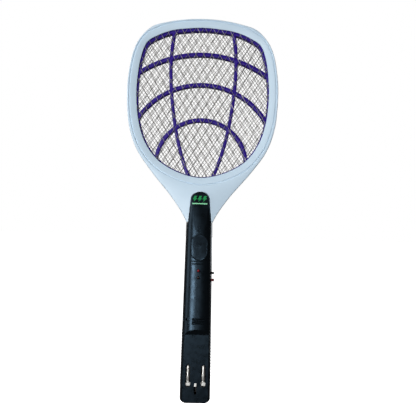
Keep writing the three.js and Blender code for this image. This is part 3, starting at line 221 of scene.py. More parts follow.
def loft(rings, closed=False):
    """A closed solid over rings of places."""
    bm = bmesh.new()
    skin(bm, rings, closed)
    cap(bm)
    return bm


def turned(profile, axis, centre, sides=32):
    """A solid of revolution. The profile gives radius and distance along the axis."""
    bm = bmesh.new()
    along = {"x": Vector((1, 0, 0)), "y": Vector((0, 1, 0)), "z": Vector((0, 0, 1))}[axis]
    across = Vector((0, 0, 1)) if axis == "x" else Vector((1, 0, 0))
    origin = Vector(centre)
    verts = [bm.verts.new(origin + across * r + along * h) for r, h in profile]
    edges = [bm.edges.new(pair) for pair in zip(verts, verts[1:])]
    bmesh.ops.spin(
        bm, geom=verts + edges, cent=origin, axis=along, angle=2 * math.pi, steps=sides,
        use_merge=True)
    bmesh.ops.remove_doubles(bm, verts=bm.verts, dist=1e-4)
    bmesh.ops.recalc_face_normals(bm, faces=bm.faces)
    return bm


def box(low, high, bevel=0.0, segments=2):
    """A box between two corners, with its edges rounded."""
    bm = bmesh.new()
    bmesh.ops.create_cube(bm, size=1.0)
    low, high = Vector(low), Vector(high)
    bmesh.ops.scale(bm, vec=high - low, verts=bm.verts)
    bmesh.ops.translate(bm, vec=(low + high) / 2, verts=bm.verts)
    if bevel:
        bmesh.ops.bevel(
            bm, geom=bm.edges[:], offset=bevel, affect="EDGES", segments=segments, profile=0.5,
            material=-1)
    return bm


def prism(outline, front, back):
    """A flat outline in X and Z, given its depth between two Y values."""
    bm = bmesh.new()
    verts = [bm.verts.new((x, front, z)) for x, z in outline]
    face = bm.faces.new(verts)
    made = bmesh.ops.extrude_face_region(bm, geom=[face])["geom"]
    moved = [item for item in made if isinstance(item, bmesh.types.BMVert)]
    bmesh.ops.translate(bm, vec=(0, back - front, 0), verts=moved)
    bmesh.ops.recalc_face_normals(bm, faces=bm.faces)
    return bm


def slab(profile, left, right):
    """A side profile in Y and Z, given its width between two X values."""
    bm = bmesh.new()
    verts = [bm.verts.new((left, y, z)) for y, z in profile]
    face = bm.faces.new(verts)
    made = bmesh.ops.extrude_face_region(bm, geom=[face])["geom"]
    moved = [item for item in made if isinstance(item, bmesh.types.BMVert)]
    bmesh.ops.translate(bm, vec=(right - left, 0, 0), verts=moved)
    bmesh.ops.recalc_face_normals(bm, faces=bm.faces)
    return bm


def merged(parts):
    """Several meshes that don't touch, as one."""
    whole = parts[0]
    for part in parts[1:]:
        mesh = bpy.data.meshes.new("part")
        part.to_mesh(mesh)
        part.free()
        whole.from_mesh(mesh)
        bpy.data.meshes.remove(mesh)
    return whole


def as_object(bm, name):
    """A mesh as an object in the scene."""
    mesh = bpy.data.meshes.new(name)
    bm.to_mesh(mesh)
    bm.free()
    item = bpy.data.objects.new(name, mesh)
    bpy.context.scene.collection.objects.link(item)
    return item


def combined(bm, *steps):
    """A mesh after Boolean steps, each an operation and a mesh that it uses up."""
    item = as_object(bm, "work")
    for operation, tool in steps:
        other = as_object(tool, "tool")
        modifier = item.modifiers.new("step", "BOOLEAN")
        modifier.operation = operation
        modifier.solver = "EXACT"
        modifier.object = other
        graph = bpy.context.evaluated_depsgraph_get()
        mesh = bpy.data.meshes.new_from_object(item.evaluated_get(graph))
        item.modifiers.clear()
        old = item.data
        item.data = mesh
        bpy.data.meshes.remove(old)
        bpy.data.meshes.remove(other.data)
    result = bmesh.new()
    result.from_mesh(item.data)
    bpy.data.meshes.remove(item.data)
    bmesh.ops.remove_doubles(result, verts=result.verts, dist=1e-4)
    return result


def place(bm, name, body, finish, stands_for=(), sharp=35.0):
    """A finished piece: metres, origin in the grip, smooth but for sharp edges, on its body."""
    bmesh.ops.translate(bm, vec=(0, 0, -GRIP_HEIGHT), verts=bm.verts)
    bmesh.ops.scale(bm, vec=(MM, MM, MM), verts=bm.verts)
    for face in bm.faces:
        face.smooth = True
    item = as_object(bm, name)
    item.data.set_sharp_from_angle(angle=math.radians(sharp))
    item.data.materials.append(finish)
    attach(item, body)
    if stands_for:
        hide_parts(*stands_for)
    return item


# ------------------------------------------------------------------ outlines


def smooth_line(points, closed, steps):
    """Even steps along a centripetal curve through points."""
    places = [Vector(point) for point in points]
    count = len(places)
    if closed:
        ends = places[-1:] + places + places[:2]
    else:
        ends = [2 * places[0] - places[1]] + places + [2 * places[-1] - places[-2]]
    fine = []
    for index in range(count if closed else count - 1):
        p0, p1, p2, p3 = ends[index:index + 4]
        d0, d1, d2 = ((b - a).length ** 0.5 for a, b in ((p0, p1), (p1, p2), (p2, p3)))
        t1 = ((p1 - p0) / d0 - (p2 - p0) / (d0 + d1) + (p2 - p1) / d1) * d1
        t2 = ((p2 - p1) / d1 - (p3 - p1) / (d1 + d2) + (p3 - p2) / d2) * d1
        for part in range(24):
            t = part / 24
            fine.append(
                p1 + t1 * t + (3 * (p2 - p1) - 2 * t1 - t2) * t * t
                + (2 * (p1 - p2) + t1 + t2) * t ** 3)
    fine.append(places[0] if closed else places[-1])
    lengths = [0.0]
    for a, b in zip(fine, fine[1:]):
        lengths.append(lengths[-1] + (b - a).length)
    line, index = [], 0
    for step in range(steps + 1):
        goal = lengths[-1] * step / steps
        while index < len(fine) - 2 and lengths[index + 1] < goal:
            index += 1
        share = (goal - lengths[index]) / (lengths[index + 1] - lengths[index])
        line.append(fine[index].lerp(fine[index + 1], min(share, 1.0)))
    return line[:-1] if closed else line


def grown(outline, distance):
    """A closed outline moved outwards, by one distance or one for each point."""
    count = len(outline)
    area = sum(a.x * b.y - b.x * a.y for a, b in zip(outline, outline[1:] + outline[:1]))
    turn = 1 if area > 0 else -1
    result = []
    for index, point in enumerate(outline):
        before, after = outline[index - 1], outline[(index + 1) % count]
        first = Vector((point.y - before.y, before.x - point.x)).normalized()
        second = Vector((after.y - point.y, point.x - after.x)).normalized()
        reach = distance if isinstance(distance, (int, float)) else distance[index]
        result.append(point + (first + second) * (turn * reach / (1 + first.dot(second))))
    return result


def mirrored_line(right, closed, steps):
    """A smooth line through the points of a right half and of its mirror image."""
    left = [(-x, z) for x, z in (right[1:-1] if closed else right[1:])]
    points = list(right) + left[::-1] if closed else left[::-1] + list(right)
    return smooth_line(points, closed, steps)


def head_outline():
    """The head's outline above the shoulder."""
    right = [(x * HEAD_WIDTH / 2, HANDLE_LENGTH + z * HEAD_HEIGHT) for x, z in HEAD_HALF]
    shoulder = TOP_WIDTH / 2
    right += [(shoulder + 7.5, HANDLE_LENGTH + 14), (shoulder, HANDLE_LENGTH)]
    right += [(shoulder - 2, HANDLE_LENGTH - 10)]
    line = [p for p in mirrored_line(right, False, 300) if p.y > HANDLE_LENGTH + 0.5]
    return [Vector((-shoulder, HANDLE_LENGTH)), *line, Vector((shoulder, HANDLE_LENGTH))]


def opening_outline(steps=OPENING_POINTS):
    """The outline of the opening for the nets."""
    right = [(x * OPENING_WIDTH / 2, OPENING_BOTTOM + z * OPENING_HEIGHT) for x, z in OPENING_HALF]
    return mirrored_line(right, True, steps)


def stadium(width, length, height, steps=24):
    """An upright slot outline with round ends, centred at a height."""
    radius, straight = width / 2, (length - width) / 2
    points = []
    for index in range(2 * steps):
        turn = 2 * math.pi * (index + 0.5) / (2 * steps)
        lift = straight if math.sin(turn) > 0 else -straight
        points.append((radius * math.cos(turn), height + lift + radius * math.sin(turn)))
    return points


# ------------------------------------------------------------------ finishes


def link_chain(tree, *pairs):
    """Links output sockets to input sockets."""
    for output, target in pairs:
        tree.links.new(output, target)


def noise(tree, coords, scale, detail=2.0, stretch=None):
    """A noise pattern on the object's own coordinates, stretched along Z if asked."""
    node = tree.nodes.new("ShaderNodeTexNoise")
    node.inputs["Scale"].default_value = scale
    node.inputs["Detail"].default_value = detail
    if stretch:
        mapping = tree.nodes.new("ShaderNodeMapping")
        mapping.inputs["Scale"].default_value = stretch
        link_chain(
            tree, (coords, mapping.inputs["Vector"]), (mapping.outputs[0], node.inputs["Vector"]))
    else:
        link_chain(tree, (coords, node.inputs["Vector"]))
    return node.outputs["Fac"]


def remapped(tree, value, low, high, out_low, out_high):
    """A value moved from one range to another."""
    node = tree.nodes.new("ShaderNodeMapRange")
    for name, number in zip(("From Min", "From Max", "To Min", "To Max"), (low, high, out_low, out_high)):
        node.inputs[name].default_value = number
    link_chain(tree, (value, node.inputs["Value"]))
    return node.outputs[0]


def blended(tree, share, first, second):
    """A colour between two colours; either may be a socket."""
    node = tree.nodes.new("ShaderNodeMix")
    node.data_type = "RGBA"
    link_chain(tree, (share, node.inputs["Factor"]))
    for index, value in ((6, first), (7, second)):
        if isinstance(value, bpy.types.NodeSocket):
            link_chain(tree, (value, node.inputs[index]))
        else:
            node.inputs[index].default_value = (*value, 1)
    return node.outputs[2]


def shaded(value, factor):
    """A colour made lighter or darker."""
    return tuple(min(part * factor, 1) for part in value)


def worn_edges(tree, width):
    """Where the surface has an edge: 0 on flats, 1 on edges."""
    bevel = tree.nodes.new("ShaderNodeBevel")
    bevel.samples = 4
    bevel.inputs["Radius"].default_value = width * MM
    geometry = tree.nodes.new("ShaderNodeNewGeometry")
    dot = tree.nodes.new("ShaderNodeVectorMath")
    dot.operation = "DOT_PRODUCT"
    link_chain(
        tree, (bevel.outputs[0], dot.inputs[0]), (geometry.outputs["Normal"], dot.inputs[1]))
    return remapped(tree, dot.outputs["Value"], 0.97, 0.75, 0, 1)


def surface(
    name, base, rough, *, metal=0.0, mottle=0.06, mottle_size=14.0, grain_size=0.5, grain=0.08,
    rough_spread=0.06, scuffs=0.0, wear=0.0, wear_colour=None, sheen=0.0, coat=0.0,
    glow=0.0, soft=0.0, stretch=None, gloss=None, gloss_tint=None,
):
    """A moulded, metal or coated surface with colour drift, fine grain, scuffs and worn edges."""
    material = bpy.data.materials.new(name)
    material.use_nodes = True
    tree = material.node_tree
    shader = tree.nodes["Principled BSDF"]
    coords = tree.nodes.new("ShaderNodeTexCoord").outputs["Object"]
    shader.inputs["Metallic"].default_value = metal
    if coat:
        shader.inputs["Coat Weight"].default_value = coat
        shader.inputs["Coat Roughness"].default_value = 0.12
    if sheen:
        shader.inputs["Sheen Weight"].default_value = sheen
    if gloss is not None:
        shader.inputs["Specular IOR Level"].default_value = gloss
    if gloss_tint:
        shader.inputs["Specular Tint"].default_value = (*gloss_tint, 1)
    if glow:
        shader.inputs["Emission Color"].default_value = (*base, 1)
        shader.inputs["Emission Strength"].default_value = glow
    if soft:
        shader.inputs["Subsurface Weight"].default_value = soft
        shader.inputs["Subsurface Radius"].default_value = (1, 1, 1)
        shader.inputs["Subsurface Scale"].default_value = 0.0015
    drift = noise(tree, coords, 1 / (mottle_size * MM), 3.0, stretch)
    share = remapped(tree, drift, 0.3, 0.7, 0, 1)
    tone = blended(tree, share, shaded(base, 1 - mottle), shaded(base, 1 + mottle))
    fine = noise(tree, coords, 1 / (grain_size * MM), 2.0, stretch)
    patches = noise(tree, coords, 1 / (0.45 * mottle_size * MM), 4.0, stretch)
    roughness = remapped(tree, patches, 0.3, 0.7, rough - rough_spread, rough + rough_spread)
    if scuffs:
        lines = noise(tree, coords, 260.0, 5.0, (1.0, 1.0, 0.08))
        mask = remapped(tree, lines, 0.62, 0.72, 0, scuffs)
        tone = blended(tree, mask, tone, shaded(base, 1.6))
    if wear:
        edge = worn_edges(tree, wear)
        broken = tree.nodes.new("ShaderNodeMath")
        broken.operation = "MULTIPLY"
        link_chain(
            tree, (edge, broken.inputs[0]),
            (remapped(tree, patches, 0.35, 0.6, 0.25, 0.9), broken.inputs[1]))
        tone = blended(tree, broken.outputs[0], tone, wear_colour or shaded(base, 1.35))
    bump = tree.nodes.new("ShaderNodeBump")
    bump.inputs["Strength"].default_value = grain
    bump.inputs["Distance"].default_value = 0.2 * MM
    link_chain(
        tree, (tone, shader.inputs["Base Color"]), (roughness, shader.inputs["Roughness"]),
        (fine, bump.inputs["Height"]), (bump.outputs[0], shader.inputs["Normal"]))
    return material


FINISHES = {}


def finish(name):
    """A finish by name, made once."""
    if name not in FINISHES:
        FINISHES[name] = FINISH_MAKERS[name]()
    return FINISHES[name]


FINISH_MAKERS = {
    "head_plastic": lambda: surface(
        "head_plastic", colours().frame, 0.42, mottle=0.025, mottle_size=30, grain_size=0.7,
        grain=0.06, wear=0.7, wear_colour=shaded(colours().frame, 1.12)),
    "bar_plastic": lambda: surface(
        "bar_plastic", colours().spacer, 0.38, mottle=0.10, grain_size=0.8, grain=0.05,
        wear=0.8, wear_colour=shaded(colours().spacer, 1.6)),
    "handle_plastic": lambda: surface(
        "handle_plastic", colours().handle, 0.31, mottle=0.10, grain_size=0.6, grain=0.035,
        scuffs=0.02, wear=0.6, wear_colour=shaded(colours().handle, 3.0), gloss=0.6,
        gloss_tint=(0.45, 0.72, 1.0)),
    "button_plastic": lambda: surface(
        "button_plastic", shaded(colours().handle, 1.25), 0.31, mottle=0.10, grain_size=0.5,
        grain=0.035, wear=0.5, wear_colour=shaded(colours().handle, 4.0), gloss=0.6,
        gloss_tint=(0.45, 0.72, 1.0)),
    "sign_paint": lambda: surface(
        "sign_paint", colours().emblem, 0.45, mottle=0.08, mottle_size=3, grain=0.05),
    "bar_paint": lambda: surface(
        "bar_paint", colours().bar, 0.45, mottle=0.08, mottle_size=3, grain=0.05),
    "net_steel": lambda: surface(
        "net_steel", (0.50, 0.47, 0.45), 0.38, metal=0.85, mottle=0.18, mottle_size=6,
        grain_size=0.3, grain=0.12, rough_spread=0.12),
    # Painted shade: a darker copy of the net steel for the middle net, which lies in shade between the
    # two spacers.
    "shaded_net_steel": lambda: surface(
        "shaded_net_steel", (0.10, 0.085, 0.075), 0.45, metal=0.7, mottle=0.18, mottle_size=6,
        grain_size=0.3, grain=0.12, rough_spread=0.12),
    "screw_steel": lambda: surface(
        "screw_steel", (0.55, 0.55, 0.53), 0.30, metal=1.0, mottle=0.12, mottle_size=2,
        grain_size=0.25, grain=0.12, rough_spread=0.1, wear=0.3),
    "pin_metal": lambda: surface(
        "pin_metal", (0.78, 0.77, 0.74), 0.36, metal=0.7, mottle=0.06, mottle_size=4,
        grain_size=0.3, grain=0.08, scuffs=0.2, rough_spread=0.08),
    "nylon": lambda: surface(
        "nylon", (0.78, 0.78, 0.75), 0.42, mottle=0.03, mottle_size=5, grain_size=0.4,
        grain=0.05, soft=0.3, wear=0.4),
    "red_lens": lambda: surface(
        "red_lens", colours().lens, 0.14, mottle=0.05, mottle_size=2, grain=0.02, coat=0.5),
    "dark_lens": lambda: surface(
        "dark_lens", (0.02, 0.012, 0.012), 0.14, mottle=0.05, mottle_size=2, grain=0.02, coat=0.5),
    "knob_red": lambda: surface(
        "knob_red", colours().knob, 0.4, mottle=0.08, mottle_size=3, grain=0.08, wear=0.3),
    "knob_black": lambda: surface(
        "knob_black", colours().handle, 0.4, mottle=0.1, mottle_size=3, grain=0.08, wear=0.3),
    "board_lacquer": lambda: surface(
        "board_lacquer", (0.02, 0.10, 0.035), 0.3, mottle=0.25, mottle_size=4, grain_size=0.8,
        grain=0.15, coat=0.3),
    "ferrite": lambda: surface(
        "ferrite", (0.035, 0.034, 0.036), 0.62, mottle=0.2, mottle_size=3, grain_size=0.3,
        grain=0.3),
    "winding_tape": lambda: surface(
        "winding_tape", (0.62, 0.42, 0.07), 0.35, mottle=0.1, mottle_size=4, grain_size=0.9,
        grain=0.1, coat=0.3, stretch=(1, 1, 8)),
    "film_epoxy": lambda: surface(
        "film_epoxy", (0.25, 0.035, 0.02), 0.25, mottle=0.1, mottle_size=4, grain=0.04, coat=0.5),
    "ceramic": lambda: surface(
        "ceramic", (0.50, 0.36, 0.20), 0.5, mottle=0.12, mottle_size=3, grain_size=0.3,
        grain=0.2),
    "battery_case": lambda: surface(
        "battery_case", (0.07, 0.075, 0.08), 0.5, mottle=0.1, mottle_size=8, grain_size=0.5,
        grain=0.15, wear=0.5),
    "foam": lambda: surface(
        "foam", (0.04, 0.04, 0.042), 0.95, mottle=0.3, mottle_size=1.5, grain_size=0.6,
        grain=0.9, sheen=0.3),
    "brass": lambda: surface(
        "brass", (0.60, 0.40, 0.13), 0.28, metal=1.0, mottle=0.1, mottle_size=3, grain=0.08),
    "lead_red": lambda: surface(
        "lead_red", (0.45, 0.014, 0.014), 0.4, mottle=0.06, mottle_size=6, grain=0.06),
    "lead_black": lambda: surface(
        "lead_black", (0.012, 0.012, 0.012), 0.4, mottle=0.1, mottle_size=6, grain=0.06),
    "switch_case": lambda: surface(
        "switch_case", (0.45, 0.45, 0.44), 0.35, metal=0.9, mottle=0.12, mottle_size=3,
        grain=0.1, wear=0.3),
}


def repaint(nodes, name):
    """Gives CAD nodes a finish."""
    for node in nodes:
        item = frame["nodes"][node]
        if not item.material_slots:
            item.data.materials.append(None)
        for slot in item.material_slots:
            slot.link = "OBJECT"
            slot.material = finish(name)


# ------------------------------------------------------------------ head


def rim_room(opening, head):
    """Distance from each point of the opening to the head's outline."""
    pairs = list(zip(head, head[1:] + head[:1]))
    room = []
    for point in opening:
        best = 1e9
        for a, b in pairs:
            edge = b - a
            share = max(0.0, min(1.0, (point - a).dot(edge) / edge.length_squared))
            best = min(best, (point - a - edge * share).length)
        room.append(best)
    return room


def frame_half(side):
    """One half of the head frame: a hollow moulding with a lip, a sloping band and a bead."""
    opening, head = opening_outline(), head_outline()
    band = [min(8.5, room - 2.85) for room in rim_room(opening, head)]
    hollow_floor = 6.6
    straight = (
        (5.0, hollow_floor), (5.0, SPLIT), (2.8, SPLIT), (2.8, LIP_INSIDE), (0.0, LIP_INSIDE),
        (0.0, LIP_FACE - 0.35), (0.1, LIP_FACE - 0.12), (0.35, LIP_FACE))
    inner = [([distance] * OPENING_POINTS, depth) for distance, depth in straight]
    for share, depth in ((0.1, 7.98), (0.35, 8.62), (0.65, 9.25), (0.92, 9.72)):
        inner.append(([share * reach for reach in band], depth))
    bead_foot = (
        (-0.5, 9.72), (-0.35, 9.6), (-0.2, 8.9), (0.6, 8.85), (0.75, 9.35), (1.05, 9.72),
        (1.4, 9.93), (1.75, HEAD_FACE))
    for extra, depth in bead_foot:
        inner.append(([reach + extra for reach in band], depth))
    outer = [
        (-1.05, HEAD_FACE), (-0.8, 9.92), (-0.55, 9.74), (-0.32, 9.45), (-0.15, 9.05),
        (-0.04, 8.5), (0.0, 7.8), (0.0, 0.55), (-0.12, 0.25), (-0.4, SPLIT), (-2.2, SPLIT),
        (-2.4, hollow_floor),
    ]
    bm = bmesh.new()
    for base, loops in ((opening, inner), (head, outer)):
        rings = []
        for distance, depth in loops:
            rings.append([Vector((p.x, side * depth, p.y)) for p in grown(base, distance)])
        skin(bm, rings)
    for depth in (HEAD_FACE, hollow_floor):
        edges = [
            edge for edge in bm.edges
            if edge.is_boundary and all(abs(abs(v.co.y) - depth) < 1e-3 for v in edge.verts)]
        bmesh.ops.triangle_fill(bm, use_beauty=True, use_dissolve=False, edges=edges)
    bmesh.ops.recalc_face_normals(bm, faces=bm.faces)
    half = 11.0
    y = sorted((side * SPLIT, side * 9.7))
    insert = box((-half, y[0], 211.1), (half, y[1], HANDLE_LENGTH + 1.5), 0.4, 1)
    return combined(bm, ("UNION", insert))


class SWATTER_OT_head_frame(bpy.types.Operator):
    """Builds the two halves of the head frame"""

    bl_idname = "swatter.head_frame"
    bl_label = "Head Frame"

    def execute(self, context):
        place(
            frame_half(-1), "head_front_shell", "root", finish("head_plastic"),
            ["front_frame"], 40)
        seats = []
        for index in range(1, 9):
            low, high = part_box(f"head_screw_{index}")
            middle = (low + high) / 2 / MM
            seats.append(
                turned([(0, 7.3), (2.8, 7.3), (2.8, 9.5), (3.4, 12), (0, 12)], "y",
                       (middle.x, 0, middle.z + GRIP_HEIGHT), 28))
        rear = combined(frame_half(1), ("DIFFERENCE", merged(seats)))
        place(
            rear, "head_rear_shell", "root", finish("head_plastic"),
            ["rear_frame"], 40)
        return {"FINISHED"}


# ------------------------------------------------------------------ nets and spacers


def chord(outline, start, along):
    """Both distances at which a line crosses a closed outline."""
    hits = []
    for point, after in zip(outline, outline[1:] + outline[:1]):
        edge, away = after - point, point - start
        turn = along.cross(edge)
        if abs(turn) > 1e-9 and 0 <= away.cross(along) / turn < 1:
            hits.append(away.cross(edge) / turn)
    return (min(hits), max(hits)) if len(hits) > 1 else None


def woven_net(pitch, degrees, wire, depth, parts, roundness):
    """Two crossed families of wires that pass over and under each other."""
    outline = grown(opening_outline(), NET_SEAT - 0.85)
    angle = math.radians(degrees)
    middle = OPENING_BOTTOM + OPENING_HEIGHT / 2
    count = math.ceil((HEAD_WIDTH + OPENING_HEIGHT) / 2 / pitch)
    curve = bpy.data.curves.new("wires", "CURVE")
    curve.dimensions = "3D"
    curve.bevel_depth = wire / 2
    curve.bevel_resolution = roundness
    curve.use_fill_caps = True
    for sign in (1, -1):
        along = Vector((sign * math.cos(angle), math.sin(angle)))
        cell = pitch / 2 / math.cos(angle)
        for index in range(-count, count + 1):
            start = Vector(((index + 0.5) * pitch, middle))
            ends = chord(outline, start, along)
            if not ends or ends[1] - ends[0] < pitch:
                continue
            step = cell / parts
            first, last = math.ceil(ends[0] / step), math.floor(ends[1] / step)
            stops = [ends[0], *(k * step for k in range(first, last + 1)), ends[1]]
            spline = curve.splines.new("POLY")
            spline.points.add(len(stops) - 1)
            for point, stop in zip(spline.points, stops):
                spot = start + along * stop
                lift = sign * wire * 0.55 * math.cos(math.pi * stop / cell)
                point.co = (spot.x, depth + lift, spot.y, 1)
    item = bpy.data.objects.new("wires", curve)
    bpy.context.scene.collection.objects.link(item)
    graph = bpy.context.evaluated_depsgraph_get()
    mesh = bpy.data.meshes.new_from_object(item.evaluated_get(graph))
    bm = bmesh.new()
    bm.from_mesh(mesh)
    bpy.data.meshes.remove(mesh)
    bpy.data.curves.remove(curve)
    bmesh.ops.remove_doubles(bm, verts=bm.verts, dist=1e-5)
    border = []
    for reach, y in ((2.45, -0.55), (2.45, 0.55), (0.9, 0.55), (0.9, -0.55)):
        border.append([Vector((p.x, depth + y, p.y)) for p in grown(opening_outline(), reach)])
    skin(bm, border, True)
    bmesh.ops.recalc_face_normals(bm, faces=bm.faces)
    return bm


class SWATTER_OT_nets(bpy.types.Operator):
    """Weaves the two outer nets and the middle net"""

    bl_idname = "swatter.nets"
    bl_label = "Nets"

    def execute(self, context):
        size = sizes()
        for name, node, depth in (
            ("net_front", "front_net", -NET_DEPTH), ("net_rear", "rear_net", NET_DEPTH)):
            bm = woven_net(size.coarse_pitch, 60.0, size.coarse_wire, depth, 4, 1)
            place(bm, name, "root", finish("net_steel"), [node], 50)
        bm = woven_net(size.fine_pitch, 52.5, size.fine_wire, 0.0, 2, 0)
        # The middle net gets the darker steel: painted shade for its place between the spacers.
        place(bm, "net_middle", "root", finish("shaded_net_steel"), ["middle_net"], 60)
        return {"FINISHED"}


def rounded_section(width, near, far, radius):
    """A rounded oblong across a bar: distances across and depths."""
    corners = [(1, near), (1, far), (-1, far), (-1, near)]
    starts = {0: -90, 1: 0, 2: 90, 3: 180}
    section = []
    for index, (sign, depth) in enumerate(corners):
        centre = (sign * (width / 2 - radius), depth + (radius if index in (0, 3) else -radius))
        for part in range(4):
            turn = math.radians(starts[index] + 30 * part)
            section.append((centre[0] + radius * math.cos(turn), centre[1] + radius * math.sin(turn)))
    return section


def bar_along(line, width, near, far):
    """A rounded bar along a flat line."""
    section = rounded_section(width, near, far, 1.3)
    rings = []
    for index, point in enumerate(line):
        ahead = line[min(index + 1, len(line) - 1)] - line[max(index - 1, 0)]
        across = Vector((ahead.y, -ahead.x)).normalized()
        rings.append([
            Vector((point.x + across.x * s, y, point.y + across.y * s)) for s, y in section])
    return loft(rings)


def spacer(side):
    """Bars and border that hold two nets apart."""
    size = sizes()
    near, far = sorted((side * 0.9, side * 4.8))
    opening = opening_outline()
    bars = []
    for centre, radius in CROSS_ARCS:
        arc = []
        for step in range(61):
            turn = math.pi * (step / 60 * 0.96 + 0.02)
            arc.append(Vector((
                radius * math.cos(turn), OPENING_BOTTOM + centre + radius * math.sin(turn))))
        bars.append(bar_along(arc, size.cross_bar, near, far))
    for sign in (-1, 1):
        line = smooth_line([(sign * x, OPENING_BOTTOM + z) for x, z in LONG_BAR], False, 60)
        bars.append(bar_along(line, size.long_bar, near + 0.04, far - 0.04))
    inside = prism(grown(opening, 1.0), -8, 8)
    lattice = combined(
        bars[3], ("UNION", bars[4]), ("UNION", bars[0]), ("UNION", bars[1]), ("UNION", bars[2]),
        ("INTERSECT", inside))
    width = NET_SEAT + SPACER_INSET
    middle = (NET_SEAT - SPACER_INSET) / 2
    section = rounded_section(width, near + 0.02, far - 0.02, 0.7)
    centre = OPENING_BOTTOM + OPENING_HEIGHT / 2
    # Painted shade: the border is widened towards the top and the left, where the frame's shadow falls on
    # it. The wider dark purple moulding stands in partly for that shadow and partly for the ring seen at
    # a slant past the lip.
    extra = [
        2.2 * max(0.0, (p.y - centre) / OPENING_HEIGHT * 2) + max(0.0, -p.x / HEAD_WIDTH * 2)
        for p in opening]
    rings = []
    for s, y in section:
        reach = [middle + s - (slant_and_shade_widening if s < 0 else 0.0) for slant_and_shade_widening in extra]
        rings.append([Vector((p.x, y, p.y)) for p in grown(opening, reach)])
    border = bmesh.new()
    skin(border, rings, True)
    bmesh.ops.recalc_face_normals(border, faces=border.faces)
    return combined(lattice, ("UNION", border))


class SWATTER_OT_spacers(bpy.types.Operator):
    """Builds the two lattices between the nets"""

    bl_idname = "swatter.spacers"
    bl_label = "Spacers"

    def execute(self, context):
        for name, node, side in (
            ("lattice_front", "front_spacer", -1), ("lattice_rear", "rear_spacer", 1)):
            place(spacer(side), name, "root", finish("bar_plastic"), [node])
        return {"FINISHED"}


# ------------------------------------------------------------------ handle


def half_width(height):
    """Half the handle's width at a height."""
    share = min(height / HANDLE_LENGTH, 1.0)
    straight = (BOTTOM_WIDTH + (TOP_WIDTH - BOTTOM_WIDTH) * share) / 2
    if height < CORNER:
        return straight - CORNER + math.sqrt(CORNER ** 2 - (CORNER - height) ** 2)
    if height <= HANDLE_LENGTH:
        return straight
    tip = TONGUE_TOP - TONGUE_TIP
    taper = (min(height, tip) - HANDLE_LENGTH) / (tip - HANDLE_LENGTH)
    tongue = straight + (TONGUE_TIP_WIDTH / 2 - straight) * taper
    dome = max(height - tip, 0) / TONGUE_TIP
    return tongue * math.sqrt(1 - (0.98 * dome) ** 2)


def half_depth(height):
    """Half the handle's depth at a height."""
    if height < CORNER:
        return HALF_DEPTH - (half_width(CORNER) - half_width(height)) / 2
    return HALF_DEPTH


def section_angles(count):
    """Angles that space points evenly round half of the section."""
    power = 2 / ROUNDNESS
    fine = [math.pi * k / 2000 for k in range(2001)]
    spots = [
        Vector((
            math.copysign(abs(math.cos(a)) ** power, math.cos(a)) * 17.5,
            abs(math.sin(a)) ** power * HALF_DEPTH)) for a in fine]
    lengths = [0.0]
    for a, b in zip(spots, spots[1:]):
        lengths.append(lengths[-1] + (b - a).length)
    angles, index = [], 0
    for step in range(count + 1):
        goal = lengths[-1] * step / count
        while index < 1999 and lengths[index + 1] < goal:
            index += 1
        angles.append(fine[index] if step < count else math.pi)
    return angles


def bump_at(value, centre, half):
    """A smooth hump of height 1 round a centre."""
    share = abs(value - centre) / half
    return 0.0 if share >= 1 else (1 - share * share) ** 2


def window(value, low, high, soft):
    """1 between two values, falling to 0 outside."""
    return max(0.0, min(1.0, (value - low) / soft + 0.5, (high - value) / soft + 0.5))


def moulded_detail(x, y, height):
    """How far ribs, ridges and bars stand out of the handle, sideways and forwards."""
    size = sizes()
    phase = (height - 20.0) % size.rib_pitch - size.rib_pitch / 2
    ribs = size.rib_height * bump_at(phase, 0, 1.0) * window(height, 20, 91, 0.5)
    sideways = ribs * window(abs(y), 1.4, 10.6, 0.8)
    forwards = 0.0
    if y < 0:
        for ridge in RIDGES:
            forwards -= 0.22 * bump_at(height, ridge, 0.75) * window(x, -8.5, 8.5, 1.5)
        across = window(x, -5.5, 9.0, 1.2)
        for bar in BARS:
            forwards += 0.45 * bump_at(height, bar, 0.95) * across
            forwards -= 0.45 * bump_at(height, bar - 1.35, 0.7) * across
    return sideways, forwards


def ring_heights(detail):
    """Heights of the handle's rings, close together where there is detail."""
    heights = [0.3, 0.5, 0.8, 1.2, 1.7, 2.4, 3.2, 4.1, 5.0]
    spans = [(5.0, 20.0, 2.5), (20.0, 91.0, 0.53), (91.0, 97.0, 1.1), (97.0, 106.0, 0.23)]
    spans += [(107.0, 171.0, 4.0), (171.0, 177.2, 0.3), (177.2, 223.0, 3.0), (223.0, 253.0, 1.5)]
    if not detail:
        spans = [(5.0, 223.0, 8.0), (223.0, 253.0, 4.0)]
    for low, high, step in spans:
        count = round((high - low) / step)
        heights += [low + (high - low) * k / count for k in range(1, count + 1)]
    tip = TONGUE_TOP - TONGUE_TIP
    return heights + [tip + TONGUE_TIP * math.sin(math.pi * k / 36) for k in range(1, 19)]


def half_body(side, heights, inset, flat, detail=False, count=76):
    """Front (-1) or rear (1) half of the handle's rounded body, flat at the parting plane."""
    power = 2 / ROUNDNESS
    angles = section_angles(count)
    rings = []
    for height in heights:
        width, depth = half_width(height) - inset, half_depth(height) - inset
        ring = []
        for angle in angles:
            x = math.copysign(abs(math.cos(angle)) ** power, math.cos(angle)) * width
            y = side * abs(math.sin(angle)) ** power * depth
            if detail:
                sideways, forwards = moulded_detail(x, y, height)
                x += math.copysign(sideways, x)
                y += side * forwards
            if abs(y) < flat or y * side < 0:
                y = side * flat
            ring.append(Vector((x, y, height)))
        for angle_end in (0, -1):
            ring[angle_end].y = side * flat
        rings.append(ring)
    return loft(rings)


def plug_face_cutter(inset):
    """Everything in front of the flat plug face and of the ramp above it."""
    face, top = -FACE_DEPTH + inset, FACE_TOP + inset
    rise = RAMP_RISE * (face + FAR)
    return slab([(face, -10), (face, top), (-FAR, top + rise), (-FAR, -10)], -FAR, FAR)


